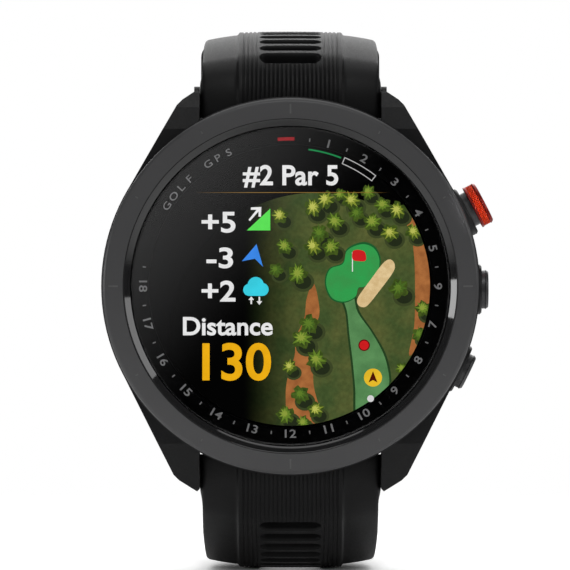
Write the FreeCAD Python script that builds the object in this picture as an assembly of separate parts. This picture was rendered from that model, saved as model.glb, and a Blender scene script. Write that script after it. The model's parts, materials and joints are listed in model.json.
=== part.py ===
"""Golf GPS watch, 47 mm case with a 22 mm silicone strap, unbuckled, as an assembly of separate pieces.

Frame, in millimetres: the origin is the centre of the sensor window on the case back, +Y points out of
the back towards the wrist, so the dial faces -Y; +Z is the 12 o'clock direction and +X is 3 o'clock.
"""

import FreeCAD, Part
import math
import os

from FreeCAD import Rotation, Vector

# ---- driving dimensions: the case, along Y from the bezel's front to the back ----
CASE_R = 23.45
BEZEL_FRONT_Y = -14.1
BEZEL_BACK_Y = -11.4
FLANGE_BACK_Y = -10.7
CASE_BACK_Y = -1.7
COVER_SEAT_Y = -2.6
BEZEL_R = 23.25
BEZEL_FACET_R = 20.65
BEZEL_BORE_R = 19.75
BEZEL_SEAT_R = 18.9
LENS_FRONT_Y = -13.35
LENS_BACK_Y = -12.35
DISPLAY_R = 17.55
DISPLAY_FRONT_Y, DISPLAY_BACK_Y = -12.1, -11.55
CARRIER_BORE_R, CARRIER_BACK_Y = 15.4, -9.4
CAVITY_R = 17.7
STRAP_WALL_Z = 18.95

# ---- lugs and the bars that carry the strap ----
# flank tangent angle, shoulder and tip of the lugs; the lower pair reaches further
UPPER_LUG = (30.0, 23.1, 24.4)
LOWER_LUG = (26.8, 24.0, 25.5)
LUG_CROWN = 0.5
KNUCKLE_RADIUS, KNUCKLE_HALF = 1.25, 0.35
LUG_INNER_X = 11.3
BAR_Y, BAR_Z, BAR_R = -6.0, 21.8, 0.9
BAR_HALF = 12.6
RUN_FIT = 0.05

# ---- strap: width, crowned section and the centreline's two bends on each half ----
STRAP_HALF = 10.95
STRAP_END_HALF = 9.9
STRAP_T = 2.8
RIB_BAND_HALF = 6.4
PATH_Y, PATH_Z0, PATH_STRAIGHT = -7.9, 20.9, 2.1
UPPER_BENDS = ((5.0, 70.0), (55.0, 54.0))
LOWER_BENDS = ((6.0, 60.0), (48.0, 113.0))
TAPER_START_Y, TAPER_END_Y = 0.0, 46.0
SLOT_PITCH, SLOT_LEN, SLOT_HEIGHT = 3.2, 7.5, 2.0
# distance of the first slot along the centreline, and how many follow it
UPPER_SLOTS, LOWER_SLOTS = (7.4, 7), (9.6, 26)
TIP_REACH = 9.0

# ---- buttons: angle, sideways offset, cap radius, cap inner and outer face, collar face, neck radius ----
BUTTON_Y = -6.8
BUTTONS = {
    "start": (27.5, -1.8, 2.75, 24.6, 26.2, 23.85, 2.2),
    "menu": (0.0, -0.4, 2.45, 23.0, 24.6, 23.75, 1.9),
    "back": (-26.0, 0.0, 2.3, 23.0, 24.7, 23.75, 1.8),
}
BUTTON_TRAVEL = 0.7
STEM_R = 0.8
SEAL_BORE_R = 1.3
STEM_END_X = 15.9
COLLAR_R = 3.1
POCKET_FLOOR_X = 21.4
GLAND_X0 = 18.9
SPRING_R, SPRING_WIRE_R, SPRING_SEAT_X = 1.1, 0.12, 20.65
FLUTES, FLUTE_R = 40, 0.12

# ---- buckle at the end of the upper strap ----
PIN_R = 0.7
KNUCKLE_R = 1.65
FRAME_INNER_HALF, FRAME_OUTER_HALF = 10.3, 12.1
FRAME_REACH, FRAME_HEEL = 10.4, 1.4
FRAME_BAR = 1.7
FRAME_LOW, FRAME_HIGH = -1.0, 1.6
TONGUE_BARREL_R = 1.35
TONGUE_HALF = 3.1
KEEPER_WIDTH = 4.4
KEEPER_GAP = 0.2
KEEPER_WALL = 1.1
TAIL_ROOM = 2.7
KEEPER_HALF = 10.55

X_AXIS, Y_AXIS, Z_AXIS = Vector(1, 0, 0), Vector(0, 1, 0), Vector(0, 0, 1)
ORIGIN = Vector(0, 0, 0)


# ---- helpers ----
def disc(radius, y0, y1, x=0.0, z=0.0):
    """A cylinder along Y."""
    return Part.makeCylinder(radius, y1 - y0, Vector(x, y0, z), Y_AXIS)


def ring(inner, outer, y0, y1, x=0.0, z=0.0):
    return disc(outer, y0, y1, x, z).cut(disc(inner, y0 - 1, y1 + 1, x, z))


def block(x0, x1, y0, y1, z0, z1):
    return Part.makeBox(x1 - x0, y1 - y0, z1 - z0, Vector(x0, y0, z0))


def turned(points):
    """A solid of revolution about Y from (radius, y) points."""
    corners = [Vector(r, y, 0) for r, y in points]
    return Part.Face(Part.makePolygon(corners + corners[:1])).revolve(ORIGIN, Y_AXIS, 360)


def plate(points, y0, y1):
    """A prism along Y from (x, z) points."""
    corners = [Vector(x, y0, z) for x, z in points]
    return Part.Face(Part.makePolygon(corners + corners[:1])).extrude(Vector(0, y1 - y0, 0))


def side_prism(points, half_width):
    """A prism across X, centred, from (y, z) points."""
    corners = [Vector(-half_width, y, z) for y, z in points]
    return Part.Face(Part.makePolygon(corners + corners[:1])).extrude(Vector(2 * half_width, 0, 0))


def bar_x(radius, half_width, y, z, x=0.0):
    return Part.makeCylinder(radius, 2 * half_width, Vector(x - half_width, y, z), X_AXIS)


def joined(shapes):
    result = shapes[0]
    for shape in shapes[1:]:
        result = result.fuse(shape)
    return result.removeSplitter()


def without(shape, tools):
    for tool in tools:
        shape = shape.cut(tool)
    return shape


def mirrored_x(shape):
    return shape.mirror(ORIGIN, X_AXIS)


def mirrored_z(shape):
    return shape.mirror(ORIGIN, Z_AXIS)


def save(name, *shapes):
    shape = shapes[0] if len(shapes) == 1 else Part.makeCompound(list(shapes))
    if not shape.isValid():
        raise ValueError(f"{name} is not a valid shape")
    shape.exportStep(f"parts/{name}.step")


# ---- button frame: pieces are modelled along +X and then swung to their angle ----
def button_place(angle, offset):
    swing = FreeCAD.Placement(ORIGIN, Rotation(Y_AXIS, -angle))
    turn = math.radians(angle)
    shift = Vector(-offset * math.sin(turn), BUTTON_Y, offset * math.cos(turn))
    return FreeCAD.Placement(shift, Rotation()).multiply(swing)


def rod(radius, x0, x1):
    return Part.makeCylinder(radius, x1 - x0, Vector(x0, 0, 0), X_AXIS)


def tube(inner, outer, x0, x1):
    return rod(outer, x0, x1).cut(rod(inner, x0 - 1, x1 + 1))


def put(shape, place):
    moved = shape.copy()
    moved.Placement = place.multiply(moved.Placement)
    return moved


# ---- strap path: a straight stretch and tangent arcs in the YZ plane ----
def direction(heading):
    return Vector(0, math.sin(math.radians(heading)), math.cos(math.radians(heading)))


def outward(heading):
    """The strap's outer side, for a path that runs up from 12 o'clock and then over to the back."""
    return Vector(0, -math.cos(math.radians(heading)), math.sin(math.radians(heading)))


class StrapPath:
    """The centreline of the upper strap half; the lower half is made the same way and mirrored."""

    def __init__(self, bends):
        self.stretches = []
        at, heading, travelled = Vector(0, PATH_Y, PATH_Z0), 0.0, 0.0
        self.stretches.append((travelled, at, heading, None, PATH_STRAIGHT))
        at = at + direction(heading) * PATH_STRAIGHT
        travelled += PATH_STRAIGHT
        for radius, turn in bends:
            length = radius * math.radians(turn)
            centre = at - outward(heading) * radius
            self.stretches.append((travelled, at, heading, (centre, radius), length))
            heading += turn
            at = centre + outward(heading) * radius
            travelled += length
        self.length = travelled

    def at(self, s):
        """(point, heading) at a distance s from the start."""
        stretch = [item for item in self.stretches if item[0] <= s + 1e-9][-1]
        start, point, heading, arc, _ = stretch
        if arc is None:
            return point + direction(heading) * (s - start), heading
        centre, radius = arc
        new_heading = heading + math.degrees((s - start) / radius)
        return centre + outward(new_heading) * radius, new_heading

    def place(self, s):
        """A placement with local X along the strap, local Y across it (towards -X) and local Z outward."""
        point, heading = self.at(s)
        along, out = direction(heading), outward(heading)
        matrix = FreeCAD.Matrix(
            along.x, -1, out.x, point.x,
            along.y, 0, out.y, point.y,
            along.z, 0, out.z, point.z,
            0, 0, 0, 1,
        )
        return FreeCAD.Placement(matrix)

    def sweep(self, section, s0, s1):
        """A solid with a section of (x, out) points, swept from s0 to s1."""
        pieces = []
        for start, _, _, arc, length in self.stretches:
            low, high = max(s0, start), min(s1, start + length)
            if high - low < 1e-6:
                continue
            point, heading = self.at(low)
            out = outward(heading)
            corners = [point + Vector(x, 0, 0) + out * n for x, n in section]
            face = Part.Face(Part.makePolygon(corners + corners[:1]))
            if arc is None:
                pieces.append(face.extrude(direction(heading) * (high - low)))
            else:
                turn = math.degrees((high - low) / arc[1])
                pieces.append(face.revolve(arc[0], X_AXIS * -1, turn))
        return joined(pieces)


UPPER_PATH, LOWER_PATH = StrapPath(UPPER_BENDS), StrapPath(LOWER_BENDS)


# ---- case ----
def lug_outline(tangent_deg, shoulder_z, tip_z):
    """The front outline of a right-hand lug, from the case's tangent to the strap's gap."""
    turn = math.radians(tangent_deg)
    tx, tz = CASE_R * math.cos(turn), CASE_R * math.sin(turn)
    run = (shoulder_z - tz) / math.cos(turn)
    sx = tx - run * math.sin(turn)
    return [
        (tx, tz), (sx + 0.35, shoulder_z - 0.6), (sx - 0.35, shoulder_z + 0.1),
        (LUG_INNER_X + 0.3, tip_z), (LUG_INNER_X, tip_z - 0.3), (LUG_INNER_X, 8.0), (15.0, 4.0),
    ]


def lug_side(crown_z):
    """The side profile that a lug is trimmed to."""
    return [
        (FLANGE_BACK_Y, 0), (FLANGE_BACK_Y, 19.5), (-9.9, crown_z - 2.7), (-8.9, crown_z - 0.9),
        (-7.8, crown_z), (-3.4, crown_z), (-2.5, crown_z - 1.3), (CASE_BACK_Y, 20.0), (CASE_BACK_Y, 0),
    ]


def lug(tangent_deg, shoulder_z, tip_z):
    """An upper right lug; the others are its mirror images or those of a longer one."""
    profile = side_prism(lug_side(tip_z + LUG_CROWN), 30)
    return plate(lug_outline(tangent_deg, shoulder_z, tip_z), FLANGE_BACK_Y, CASE_BACK_Y).common(profile)


def lugs():
    knuckle_z = UPPER_LUG[2] - 0.75
    knuckle = bar_x(KNUCKLE_RADIUS, KNUCKLE_HALF, -4.9, knuckle_z, LUG_INNER_X + KNUCKLE_HALF)
    upper_right = joined([lug(*UPPER_LUG), knuckle])
    lower_right = mirrored_z(lug(*LOWER_LUG))
    return [upper_right, mirrored_x(upper_right), lower_right, mirrored_x(lower_right)]


def case_blank():
    body = turned([
        (0, BEZEL_BACK_Y), (CASE_R - 0.25, BEZEL_BACK_Y), (CASE_R, BEZEL_BACK_Y + 0.25),
        (CASE_R, -6.0), (CASE_R - 0.5, -3.6), (CASE_R - 1.5, CASE_BACK_Y), (0, CASE_BACK_Y),
    ])
    strap_gap = block(-LUG_INNER_X, LUG_INNER_X, FLANGE_BACK_Y, 1, STRAP_WALL_Z, 30)
    return without(body, [strap_gap, mirrored_z(strap_gap)])


def cover_outline(radius, wall_z):
    """The rear cover's shape: a disc with flats at the strap gaps."""
    disc_shape = disc(radius, COVER_SEAT_Y, 1)
    return disc_shape.common(block(-30, 30, COVER_SEAT_Y, 1, -wall_z, wall_z))


COVER_R = 21.15
SEAL_INNER_R, SEAL_OUTER_R, SEAL_DEPTH = 17.95, 18.35, 0.5
SCREW_X, SCREW_Z, SCREW_HOLE_R = 15.6, 12.0, 0.7
SCREW_SPOTS = [(sx * SCREW_X, sz * SCREW_Z) for sx in (1, -1) for sz in (1, -1)]


def case_body():
    body = joined([case_blank()] + lugs())
    cuts = [
        disc(CAVITY_R, BEZEL_BACK_Y - 1, 1),
        ring(20.3, 21.7, BEZEL_BACK_Y - 1, -10.95),
        cover_outline(COVER_R + 0.15, STRAP_WALL_Z + 1),
        ring(SEAL_INNER_R, SEAL_OUTER_R, COVER_SEAT_Y - SEAL_DEPTH, COVER_SEAT_Y + 0.2),
    ]
    for x, z in SCREW_SPOTS:
        cuts.append(disc(SCREW_HOLE_R, -7.2, 0, x, z))
    for side in (1, -1):
        cuts.append(bar_x(BAR_R + 0.02, BAR_HALF + 0.1, BAR_Y, side * BAR_Z))
    for angle, offset, *_ in BUTTONS.values():
        place = button_place(angle, offset)
        cuts.append(put(rod(COLLAR_R + 0.03, POCKET_FLOOR_X, 30), place))
        cuts.append(put(rod(SEAL_BORE_R, GLAND_X0, 30), place))
        cuts.append(put(rod(STEM_R + RUN_FIT, 14, 30), place))
    vent = Part.makeCylinder(0.75, 9, Vector(-CASE_R - 1, BUTTON_Y, 0), X_AXIS)
    vent_seat = Part.makeCylinder(1.6, 2.2, Vector(-CASE_R - 1, BUTTON_Y, 0), X_AXIS)
    return without(body, cuts + [vent, vent_seat])


def bezel_ticks():
    """Engraved marks on the bezel's facet: long at the quarters, short at the other hours."""
    marks = []
    for hour in range(12):
        quarter = hour % 3 == 0
        inner, outer, half = (21.25, 22.55, 0.12) if quarter else (21.7, 22.2, 0.14)
        mark = block(inner, outer, BEZEL_FRONT_Y - 1, BEZEL_FRONT_Y + 0.32, -half, half)
        marks.append(mark.rotated(ORIGIN, Y_AXIS, 30 * hour))
    facet_depth = turned([
        (BEZEL_FACET_R, BEZEL_FRONT_Y + 0.1), (23.0, BEZEL_FRONT_Y + 0.52), (23.0, -16), (BEZEL_FACET_R, -16),
    ])
    return [mark.common(facet_depth) for mark in marks]


def bezel():
    body = turned([
        (BEZEL_SEAT_R, BEZEL_BACK_Y), (BEZEL_R - 0.15, BEZEL_BACK_Y), (BEZEL_R, BEZEL_BACK_Y - 0.15),
        (BEZEL_R, -13.1), (BEZEL_R - 0.12, -13.42), (BEZEL_R - 0.4, BEZEL_FRONT_Y + 0.43),
        (BEZEL_FACET_R + 0.15, BEZEL_FRONT_Y), (BEZEL_FACET_R, BEZEL_FRONT_Y + 0.03),
        (BEZEL_BORE_R + 0.05, LENS_FRONT_Y + 0.02), (BEZEL_BORE_R, LENS_FRONT_Y + 0.1),
        (BEZEL_BORE_R, LENS_BACK_Y), (BEZEL_SEAT_R, LENS_BACK_Y),
    ])
    return without(body, bezel_ticks())


def case_front():
    save("case_body", case_body())
    save("bezel", bezel())
    save("gps_antenna_ring", ring(20.4, 21.6, BEZEL_BACK_Y + 0.03, -10.98))
    save("cover_lens", turned([
        (0, LENS_FRONT_Y), (19.45, LENS_FRONT_Y), (19.7, LENS_FRONT_Y + 0.2), (19.7, LENS_BACK_Y - 0.02),
        (0, LENS_BACK_Y - 0.02),
    ]))
    save("hole_index_ring", ring(DISPLAY_R, 18.85, LENS_BACK_Y, LENS_BACK_Y + 0.12))
    save("display_panel", disc(DISPLAY_R - 0.02, DISPLAY_FRONT_Y, DISPLAY_BACK_Y))
    rim = ring(CARRIER_BORE_R, 18.8, -12.2, BEZEL_BACK_Y - 0.02)
    feet = ring(CARRIER_BORE_R, CAVITY_R - 0.2, BEZEL_BACK_Y - 0.1, CARRIER_BACK_Y)
    panel_seat = disc(DISPLAY_R + 0.02, -13, DISPLAY_BACK_Y + 0.02)
    save("display_carrier", joined([rim, feet]).cut(panel_seat))


# ---- electronics, stacked from the board's front to the battery's back ----
BOARD_FRONT_Y, BOARD_BACK_Y = -9.38, -8.65
CHIP_FRONT_Y = -8.6
SHIELD_BACK_Y = -7.35
BATTERY_FRONT_Y, BATTERY_BACK_Y = -7.2, -2.9
MOTOR_R, MOTOR_X, MOTOR_Z = 2.6, 9.2, 9.2


def electronics():
    board = disc(CAVITY_R - 0.3, BOARD_FRONT_Y, BOARD_BACK_Y)
    notch = block(-3.2, 3.2, -10, -8, 13.6, 15.2)
    save("main_board", without(board, [notch, mirrored_z(notch)]))
    can = block(-11.5, -0.5, CHIP_FRONT_Y, SHIELD_BACK_Y, -5.5, 5.5)
    save("processor_shield", can.makeFillet(0.25, [e for e in can.Edges if e.BoundBox.YLength > 1]))
    chips = [
        block(1.2, 5.2, CHIP_FRONT_Y, CHIP_FRONT_Y + 0.9, -4.6, -0.6),
        block(1.2, 4.2, CHIP_FRONT_Y, CHIP_FRONT_Y + 0.8, 1.0, 4.6),
    ]
    save("board_chips", *chips)
    motor_corner = block(6.0, 12, -8, -2, 6.0, 12)
    save("battery", block(-11.5, 10.0, BATTERY_FRONT_Y, BATTERY_BACK_Y, -10.5, 10.5).cut(motor_corner))
    save("vibration_motor", disc(MOTOR_R, BATTERY_FRONT_Y + 0.1, BATTERY_BACK_Y - 0.7, MOTOR_X, MOTOR_Z))
    switches = []
    for angle, offset, *_ in BUTTONS.values():
        place = button_place(angle, offset)
        body = Part.makeBox(1.9, 1.75, 3.2, Vector(12.6, -1.8, -1.6))
        plunger = Part.makeCylinder(0.6, 0.65, Vector(14.5, -0.95, 0), X_AXIS)
        switches.append(put(joined([body, plunger]), place))
    save("button_switches", *switches)
    flex_route = [
        (-11.52, 12.4), (-9.75, 12.4), (-9.75, 14.4), (-8.3, 14.4), (-8.3, 11.6), (-8.58, 11.6),
        (-8.58, 14.1), (-9.5, 14.1), (-9.5, 12.1), (-11.52, 12.1),
    ]
    save("display_flex", side_prism(flex_route, 2.6))


# ---- rear cover and sensor ----
COVER_BACK_Y = -1.25
DOME_R, WINDOW_R = 13.2, 9.4
SOCKET_Z = -15.2


def rear():
    plate_span = disc(30, COVER_SEAT_Y + 0.03, COVER_BACK_Y)
    plate_shape = cover_outline(COVER_R, STRAP_WALL_Z - 0.05).common(plate_span)
    dome = turned([
        (0, -2.0), (DOME_R + 1.3, -2.0), (DOME_R + 1.3, COVER_BACK_Y),
        (DOME_R, -0.45), (WINDOW_R, -0.3), (0, -0.3),
    ])
    cover = joined([plate_shape, dome])
    socket = block(-3.4, 3.4, -2.4, 0, SOCKET_Z - 1.7, SOCKET_Z + 1.7)
    cuts = [disc(WINDOW_R, -1.3, 1), disc(WINDOW_R - 1.6, -3, 1), socket]
    for x, z in SCREW_SPOTS:
        cuts += [disc(SCREW_HOLE_R + 0.05, -3, 0, x, z), disc(1.3, -1.95, 0, x, z)]
    for index in range(4):
        cuts.append(disc(0.4, -3, 0, -1.95 + 1.3 * index, SOCKET_Z))
    save("rear_cover", without(cover, cuts))
    groove_fit = 0.02
    seal = ring(
        SEAL_INNER_R + groove_fit, SEAL_OUTER_R - groove_fit,
        COVER_SEAT_Y - SEAL_DEPTH + groove_fit, COVER_SEAT_Y + groove_fit,
    )
    save("rear_cover_seal", seal)
    screws = []
    for x, z in SCREW_SPOTS:
        screw = joined([disc(1.2, -1.93, -1.3, x, z), disc(0.68, -6.4, -1.9, x, z)])
        screws.append(without(screw, [disc(0.5, -1.62, -1, x, z)]))
    save("rear_cover_screws", *screws)
    window_edge = WINDOW_R - 0.03
    window = [(0, -1.28), (window_edge, -1.28), (window_edge, -0.16), (window_edge - 0.47, 0), (0, 0)]
    save("sensor_window", turned(window))
    save("sensor_board", disc(7.6, -2.75, -2.1))
    emitters = [block(-1.6, -0.3, -2.08, -1.35, -0.65, 0.65), block(0.3, 1.6, -2.08, -1.35, -0.65, 0.65)]
    detectors = [
        block(5.0 * sx - 1.2, 5.0 * sx + 1.2, -2.08, -1.45, 3.1 * sz - 1.2, 3.1 * sz + 1.2)
        for sx in (1, -1) for sz in (1, -1)
    ]
    save("sensor_leds", *emitters)
    save("sensor_photodiodes", *detectors)
    contacts = [disc(0.37, -2.9, -2.05, -1.95 + 1.3 * index, SOCKET_Z) for index in range(4)]
    save("charging_contacts", *contacts)
    save("pressure_vent", Part.makeCylinder(1.55, 0.35, Vector(-CASE_R + 0.85, BUTTON_Y, 0), X_AXIS))


# ---- buttons ----
def coil(radius, wire, x0, x1, turns):
    """A compression spring along X, swept along quarter-turn arcs through the points of a helix."""
    pitch = (x1 - x0 - 2 * wire) / turns

    def on_helix(turn):
        angle = 2 * math.pi * turn
        return Vector(x0 + wire + pitch * turn, radius * math.cos(angle), radius * math.sin(angle))

    starts = [quarter / 4 for quarter in range(4 * turns)]
    arcs = [Part.Arc(on_helix(t), on_helix(t + 0.125), on_helix(t + 0.25)).toShape() for t in starts]
    section = Part.makeCircle(wire, on_helix(0), Vector(pitch, 0, 2 * math.pi * radius))
    return Part.Wire(arcs).makePipeShell([Part.Wire(section)], True, False)


def knurled(cap, radius, x0, x1):
    """Straight flutes round the side of the large button."""
    flutes = []
    for index in range(FLUTES):
        turn = 2 * math.pi * index / FLUTES
        start = Vector(x0, radius * math.sin(turn), radius * math.cos(turn))
        flutes.append(Part.makeCylinder(FLUTE_R, x1 - x0, start, X_AXIS))
    return cap.cut(Part.makeCompound(flutes))


def cap_blank(radius, x0, x1, chamfer):
    corners = [
        Vector(x0, 0, 0), Vector(x0, radius - 0.15, 0), Vector(x0 + 0.15, radius, 0),
        Vector(x1 - chamfer, radius, 0), Vector(x1 - 0.08, radius - chamfer, 0),
        Vector(x1, radius - chamfer - 0.35, 0), Vector(x1, 0, 0),
    ]
    return Part.Face(Part.makePolygon(corners + corners[:1])).revolve(ORIGIN, X_AXIS, 360)


def button(name, angle, offset, cap_r, cap_x0, cap_x1, collar_x, neck_r):
    place = button_place(angle, offset)
    raised = cap_x0 > collar_x
    cap = cap_blank(cap_r, cap_x0, cap_x1, 0.3)
    if raised:
        cap = knurled(cap, cap_r, cap_x0 + 0.3, cap_x1 - 0.4)
        cap = joined([cap, rod(neck_r, 22.9, cap_x0 + 0.1)])
    spring_seat_x = 22.9 if raised else cap_x0
    bore_r = (neck_r if raised else cap_r) + RUN_FIT
    cap = cap.cut(rod(STEM_R, 0, spring_seat_x + 0.8))
    save(f"{name}_button_cap", put(cap, place))
    stem = rod(STEM_R - 0.005, STEM_END_X, spring_seat_x + 0.78)
    stem = without(stem, [tube(0.6, 2, 16.9, 17.2)])
    save(f"{name}_button_stem", put(stem, place))
    collar = without(rod(COLLAR_R, POCKET_FLOOR_X + 0.01, collar_x), [
        rod(bore_r, spring_seat_x - BUTTON_TRAVEL - 0.1, 30), rod(1.75, POCKET_FLOOR_X - 1, 30),
    ])
    collar_edges = [e for e in collar.Edges if abs(e.BoundBox.XMin - collar_x) < 1e-6
                    and abs(e.BoundBox.YMax - COLLAR_R) < 1e-6 and e.BoundBox.XLength < 1e-6]
    save(f"{name}_button_collar", put(collar.makeChamfer(0.2, collar_edges), place))
    seal = Part.makeTorus(1.045, 0.235, Vector(19.9, 0, 0), X_AXIS)
    save(f"{name}_button_seal", put(seal, place))
    clip = without(tube(0.6, 1.5, 16.93, 17.17), [Part.makeBox(1, 3, 1.1, Vector(16.5, -3, -0.55))])
    save(f"{name}_button_clip", put(clip, place))
    spring = coil(SPRING_R, SPRING_WIRE_R, SPRING_SEAT_X, spring_seat_x - 0.02, 4)
    save(f"{name}_button_spring", put(spring, place))


# ---- straps ----
def strap_section():
    """(x, out) points of the crowned section: a raised band in the middle and thin edges."""
    half = STRAP_T / 2
    right = [
        (9.2, -half), (STRAP_HALF - 0.25, -half + 0.35), (STRAP_HALF, -half + 0.65), (STRAP_HALF, 0.1),
        (STRAP_HALF - 0.3, 0.35), (RIB_BAND_HALF + 0.35, half - 0.42), (RIB_BAND_HALF, half - 0.1),
        (RIB_BAND_HALF / 2, half),
    ]
    return right + [(-x, n) for x, n in reversed(right)]


def taper(width_start_y, width_end_y):
    """The strap narrows from the lugs to the buckle, as a wedge seen along Z."""
    rows = [
        (-12, STRAP_HALF), (width_start_y, STRAP_HALF),
        (width_end_y, STRAP_END_HALF), (90, STRAP_END_HALF),
    ]
    outline = [Vector(x, y, -90) for y, x in rows] + [Vector(-x, y, -90) for y, x in reversed(rows)]
    return Part.Face(Part.makePolygon(outline + outline[:1])).extrude(Vector(0, 0, 180))


def slot_tool(path, s):
    """A stadium-shaped hole through the strap, long across it."""
    end = SLOT_HEIGHT / 2
    flat = SLOT_LEN / 2 - end
    box = Part.makeBox(SLOT_HEIGHT, 2 * flat, 12, Vector(-end, -flat, -6))
    ends = [Part.makeCylinder(end, 12, Vector(0, side * flat, -6), Z_AXIS) for side in (1, -1)]
    return put(joined([box] + ends), path.place(s))


HOOK_R = 2.0
HOOK_HALF = 10.7


def hook_profile(grow=0.0):
    """The rigid insert that grips the lug bar: a barrel and a tongue moulded into the silicone."""
    barrel = bar_x(HOOK_R + grow, HOOK_HALF + grow, BAR_Y, BAR_Z)
    tongue = block(-8.5 - grow, 8.5 + grow, -7.6 - grow, -6.6 + grow, BAR_Z, BAR_Z + 3.6 + grow)
    return joined([barrel, tongue])


LATCH_HALF, LATCH_TRAVEL = 4.0, 1.2


def latch_track(grow=0.0, extra=0.0):
    """The quick-release slide, lying against the strap's inner face just past the bar."""
    return block(
        -LATCH_HALF - grow, LATCH_HALF + grow, BAR_Y - 0.05 - grow, BAR_Y + 0.75 + grow,
        BAR_Z + HOOK_R + 0.15 - grow, BAR_Z + HOOK_R + 2.1 + grow + extra,
    )


def hook():
    keeper_arms = [
        block(x0, x0 + 1.0, BAR_Y - 0.7, BAR_Y + 1.2, BAR_Z + 1.2, BAR_Z + HOOK_R + 3.6)
        for x0 in (-LATCH_HALF - 1.15, LATCH_HALF + 0.15)
    ]
    return joined([hook_profile()] + keeper_arms).cut(bar_x(BAR_R + RUN_FIT, 20, BAR_Y, BAR_Z))


def strap(path, slots, end):
    first_slot, count = slots
    body = path.sweep(strap_section(), 0, end).common(taper(TAPER_START_Y, TAPER_END_Y))
    cuts = [slot_tool(path, first_slot + index * SLOT_PITCH) for index in range(count)]
    cuts += [hook_profile(0.01), latch_track(0.2, LATCH_TRAVEL), hook()]
    cuts += [block(-LATCH_HALF - 1.3, LATCH_HALF + 1.3, BAR_Y - 0.75, BAR_Y + 4, BAR_Z, BAR_Z + HOOK_R + 4.0)]
    cuts += [bar_x(BAR_R + RUN_FIT, 20, BAR_Y, BAR_Z)]
    return without(body, cuts)


PIN_S = UPPER_PATH.length


def upper_strap():
    body = strap(UPPER_PATH, UPPER_SLOTS, PIN_S)
    point, _ = UPPER_PATH.at(PIN_S)
    end_bead = bar_x(KNUCKLE_R, STRAP_END_HALF, point.y, point.z)
    body = joined([body, end_bead])
    tongue_slot = Part.makeBox(9, 2 * TONGUE_HALF + 0.6, 8, Vector(-2.6, -TONGUE_HALF - 0.3, -4))
    pin_bore = bar_x(PIN_R + 0.01, 20, point.y, point.z)
    return without(body, [put(tongue_slot, UPPER_PATH.place(PIN_S)), pin_bore])


def lower_strap():
    end = LOWER_PATH.length
    body = strap(LOWER_PATH, LOWER_SLOTS, end)
    tip_keep = joined([
        Part.makeBox(40, 2 * STRAP_END_HALF, 20, Vector(-40 - TIP_REACH, -STRAP_END_HALF, -10)),
        Part.makeCylinder(TIP_REACH + 0.9, 20, Vector(-TIP_REACH - 0.9, 0, -10), Z_AXIS),
    ])
    tip_zone = put(Part.makeBox(14, 40, 20, Vector(-TIP_REACH, -20, -10)), LOWER_PATH.place(end))
    return joined([body.cut(tip_zone), body.common(tip_zone).common(put(tip_keep, LOWER_PATH.place(end)))])


# ---- buckle and keepers ----
def buckle_frame():
    """A U-shaped frame in its own place: X along the strap from the pin, Y across it, Z outwards."""
    arm_width = FRAME_OUTER_HALF - FRAME_INNER_HALF
    length, height = FRAME_REACH + FRAME_HEEL, FRAME_HIGH - FRAME_LOW
    arms = [
        Part.makeBox(length, arm_width, height, Vector(-FRAME_HEEL, y0, FRAME_LOW))
        for y0 in (FRAME_INNER_HALF, -FRAME_OUTER_HALF)
    ]
    bar_corner = Vector(FRAME_REACH - FRAME_BAR, -FRAME_OUTER_HALF, FRAME_LOW)
    far_bar = Part.makeBox(FRAME_BAR, 2 * FRAME_OUTER_HALF, 1.9, bar_corner)
    frame = joined(arms + [far_bar])
    outline = [
        Vector(-FRAME_HEEL, 0, FRAME_LOW), Vector(-1.0, 0, 1.1), Vector(0.6, 0, FRAME_HIGH),
        Vector(FRAME_REACH - 2.2, 0, 1.3), Vector(FRAME_REACH - 0.5, 0, 0.75), Vector(FRAME_REACH, 0, 0.1),
        Vector(FRAME_REACH - 0.3, 0, FRAME_LOW),
    ]
    shape = Part.Face(Part.makePolygon(outline + outline[:1])).extrude(Vector(0, 60, 0))
    frame = frame.common(shape.translated(Vector(0, -30, 0)))
    half = FRAME_OUTER_HALF - 0.8
    return frame.cut(Part.makeCylinder(PIN_R + 0.03, 2 * half, Vector(0, -half, 0), Y_AXIS))


def buckle_tongue():
    barrel = Part.makeCylinder(TONGUE_BARREL_R, 2 * TONGUE_HALF, Vector(0, -TONGUE_HALF, 0), Y_AXIS)
    blade_side = [
        Vector(0, 0, 0.35), Vector(0.8, 0, 1.35), Vector(FRAME_REACH - 1.6, 0, 1.95),
        Vector(FRAME_REACH + 0.2, 0, 1.75), Vector(FRAME_REACH + 0.2, 0, 1.15),
        Vector(FRAME_REACH - 1.8, 0, 1.0), Vector(1.6, 0, 0.35),
    ]
    blade = Part.Face(Part.makePolygon(blade_side + blade_side[:1])).extrude(Vector(0, 2 * TONGUE_HALF, 0))
    blade = blade.translated(Vector(0, -TONGUE_HALF, 0))
    return joined([barrel, blade]).cut(Part.makeCylinder(PIN_R + 0.05, 20, Vector(0, -10, 0), Y_AXIS))


def keeper_section(inner_half, low, high):
    wall = KEEPER_WALL
    outer = [
        (inner_half + wall - 0.5, low - wall), (inner_half + wall, low - wall + 0.5),
        (inner_half + wall, high + wall - 0.5), (inner_half + wall - 0.5, high + wall),
    ]
    inner = [(inner_half, low), (inner_half, high)]
    return [outer + [(-x, n) for x, n in reversed(outer)], inner + [(-x, n) for x, n in reversed(inner)]]


def keeper(s0):
    """A loop round the strap with room for the tail, curved with the strap so that it can slide."""
    half = STRAP_T / 2
    outer, inner = keeper_section(KEEPER_HALF, -half - KEEPER_GAP, half + KEEPER_GAP + TAIL_ROOM)
    loop = UPPER_PATH.sweep(outer, s0, s0 + KEEPER_WIDTH)
    return loop.cut(UPPER_PATH.sweep(inner, s0 - 1, s0 + KEEPER_WIDTH + 1))


FIXED_KEEPER_S, SLIDING_KEEPER_S = PIN_S - 6.4, PIN_S - 11.1


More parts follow.
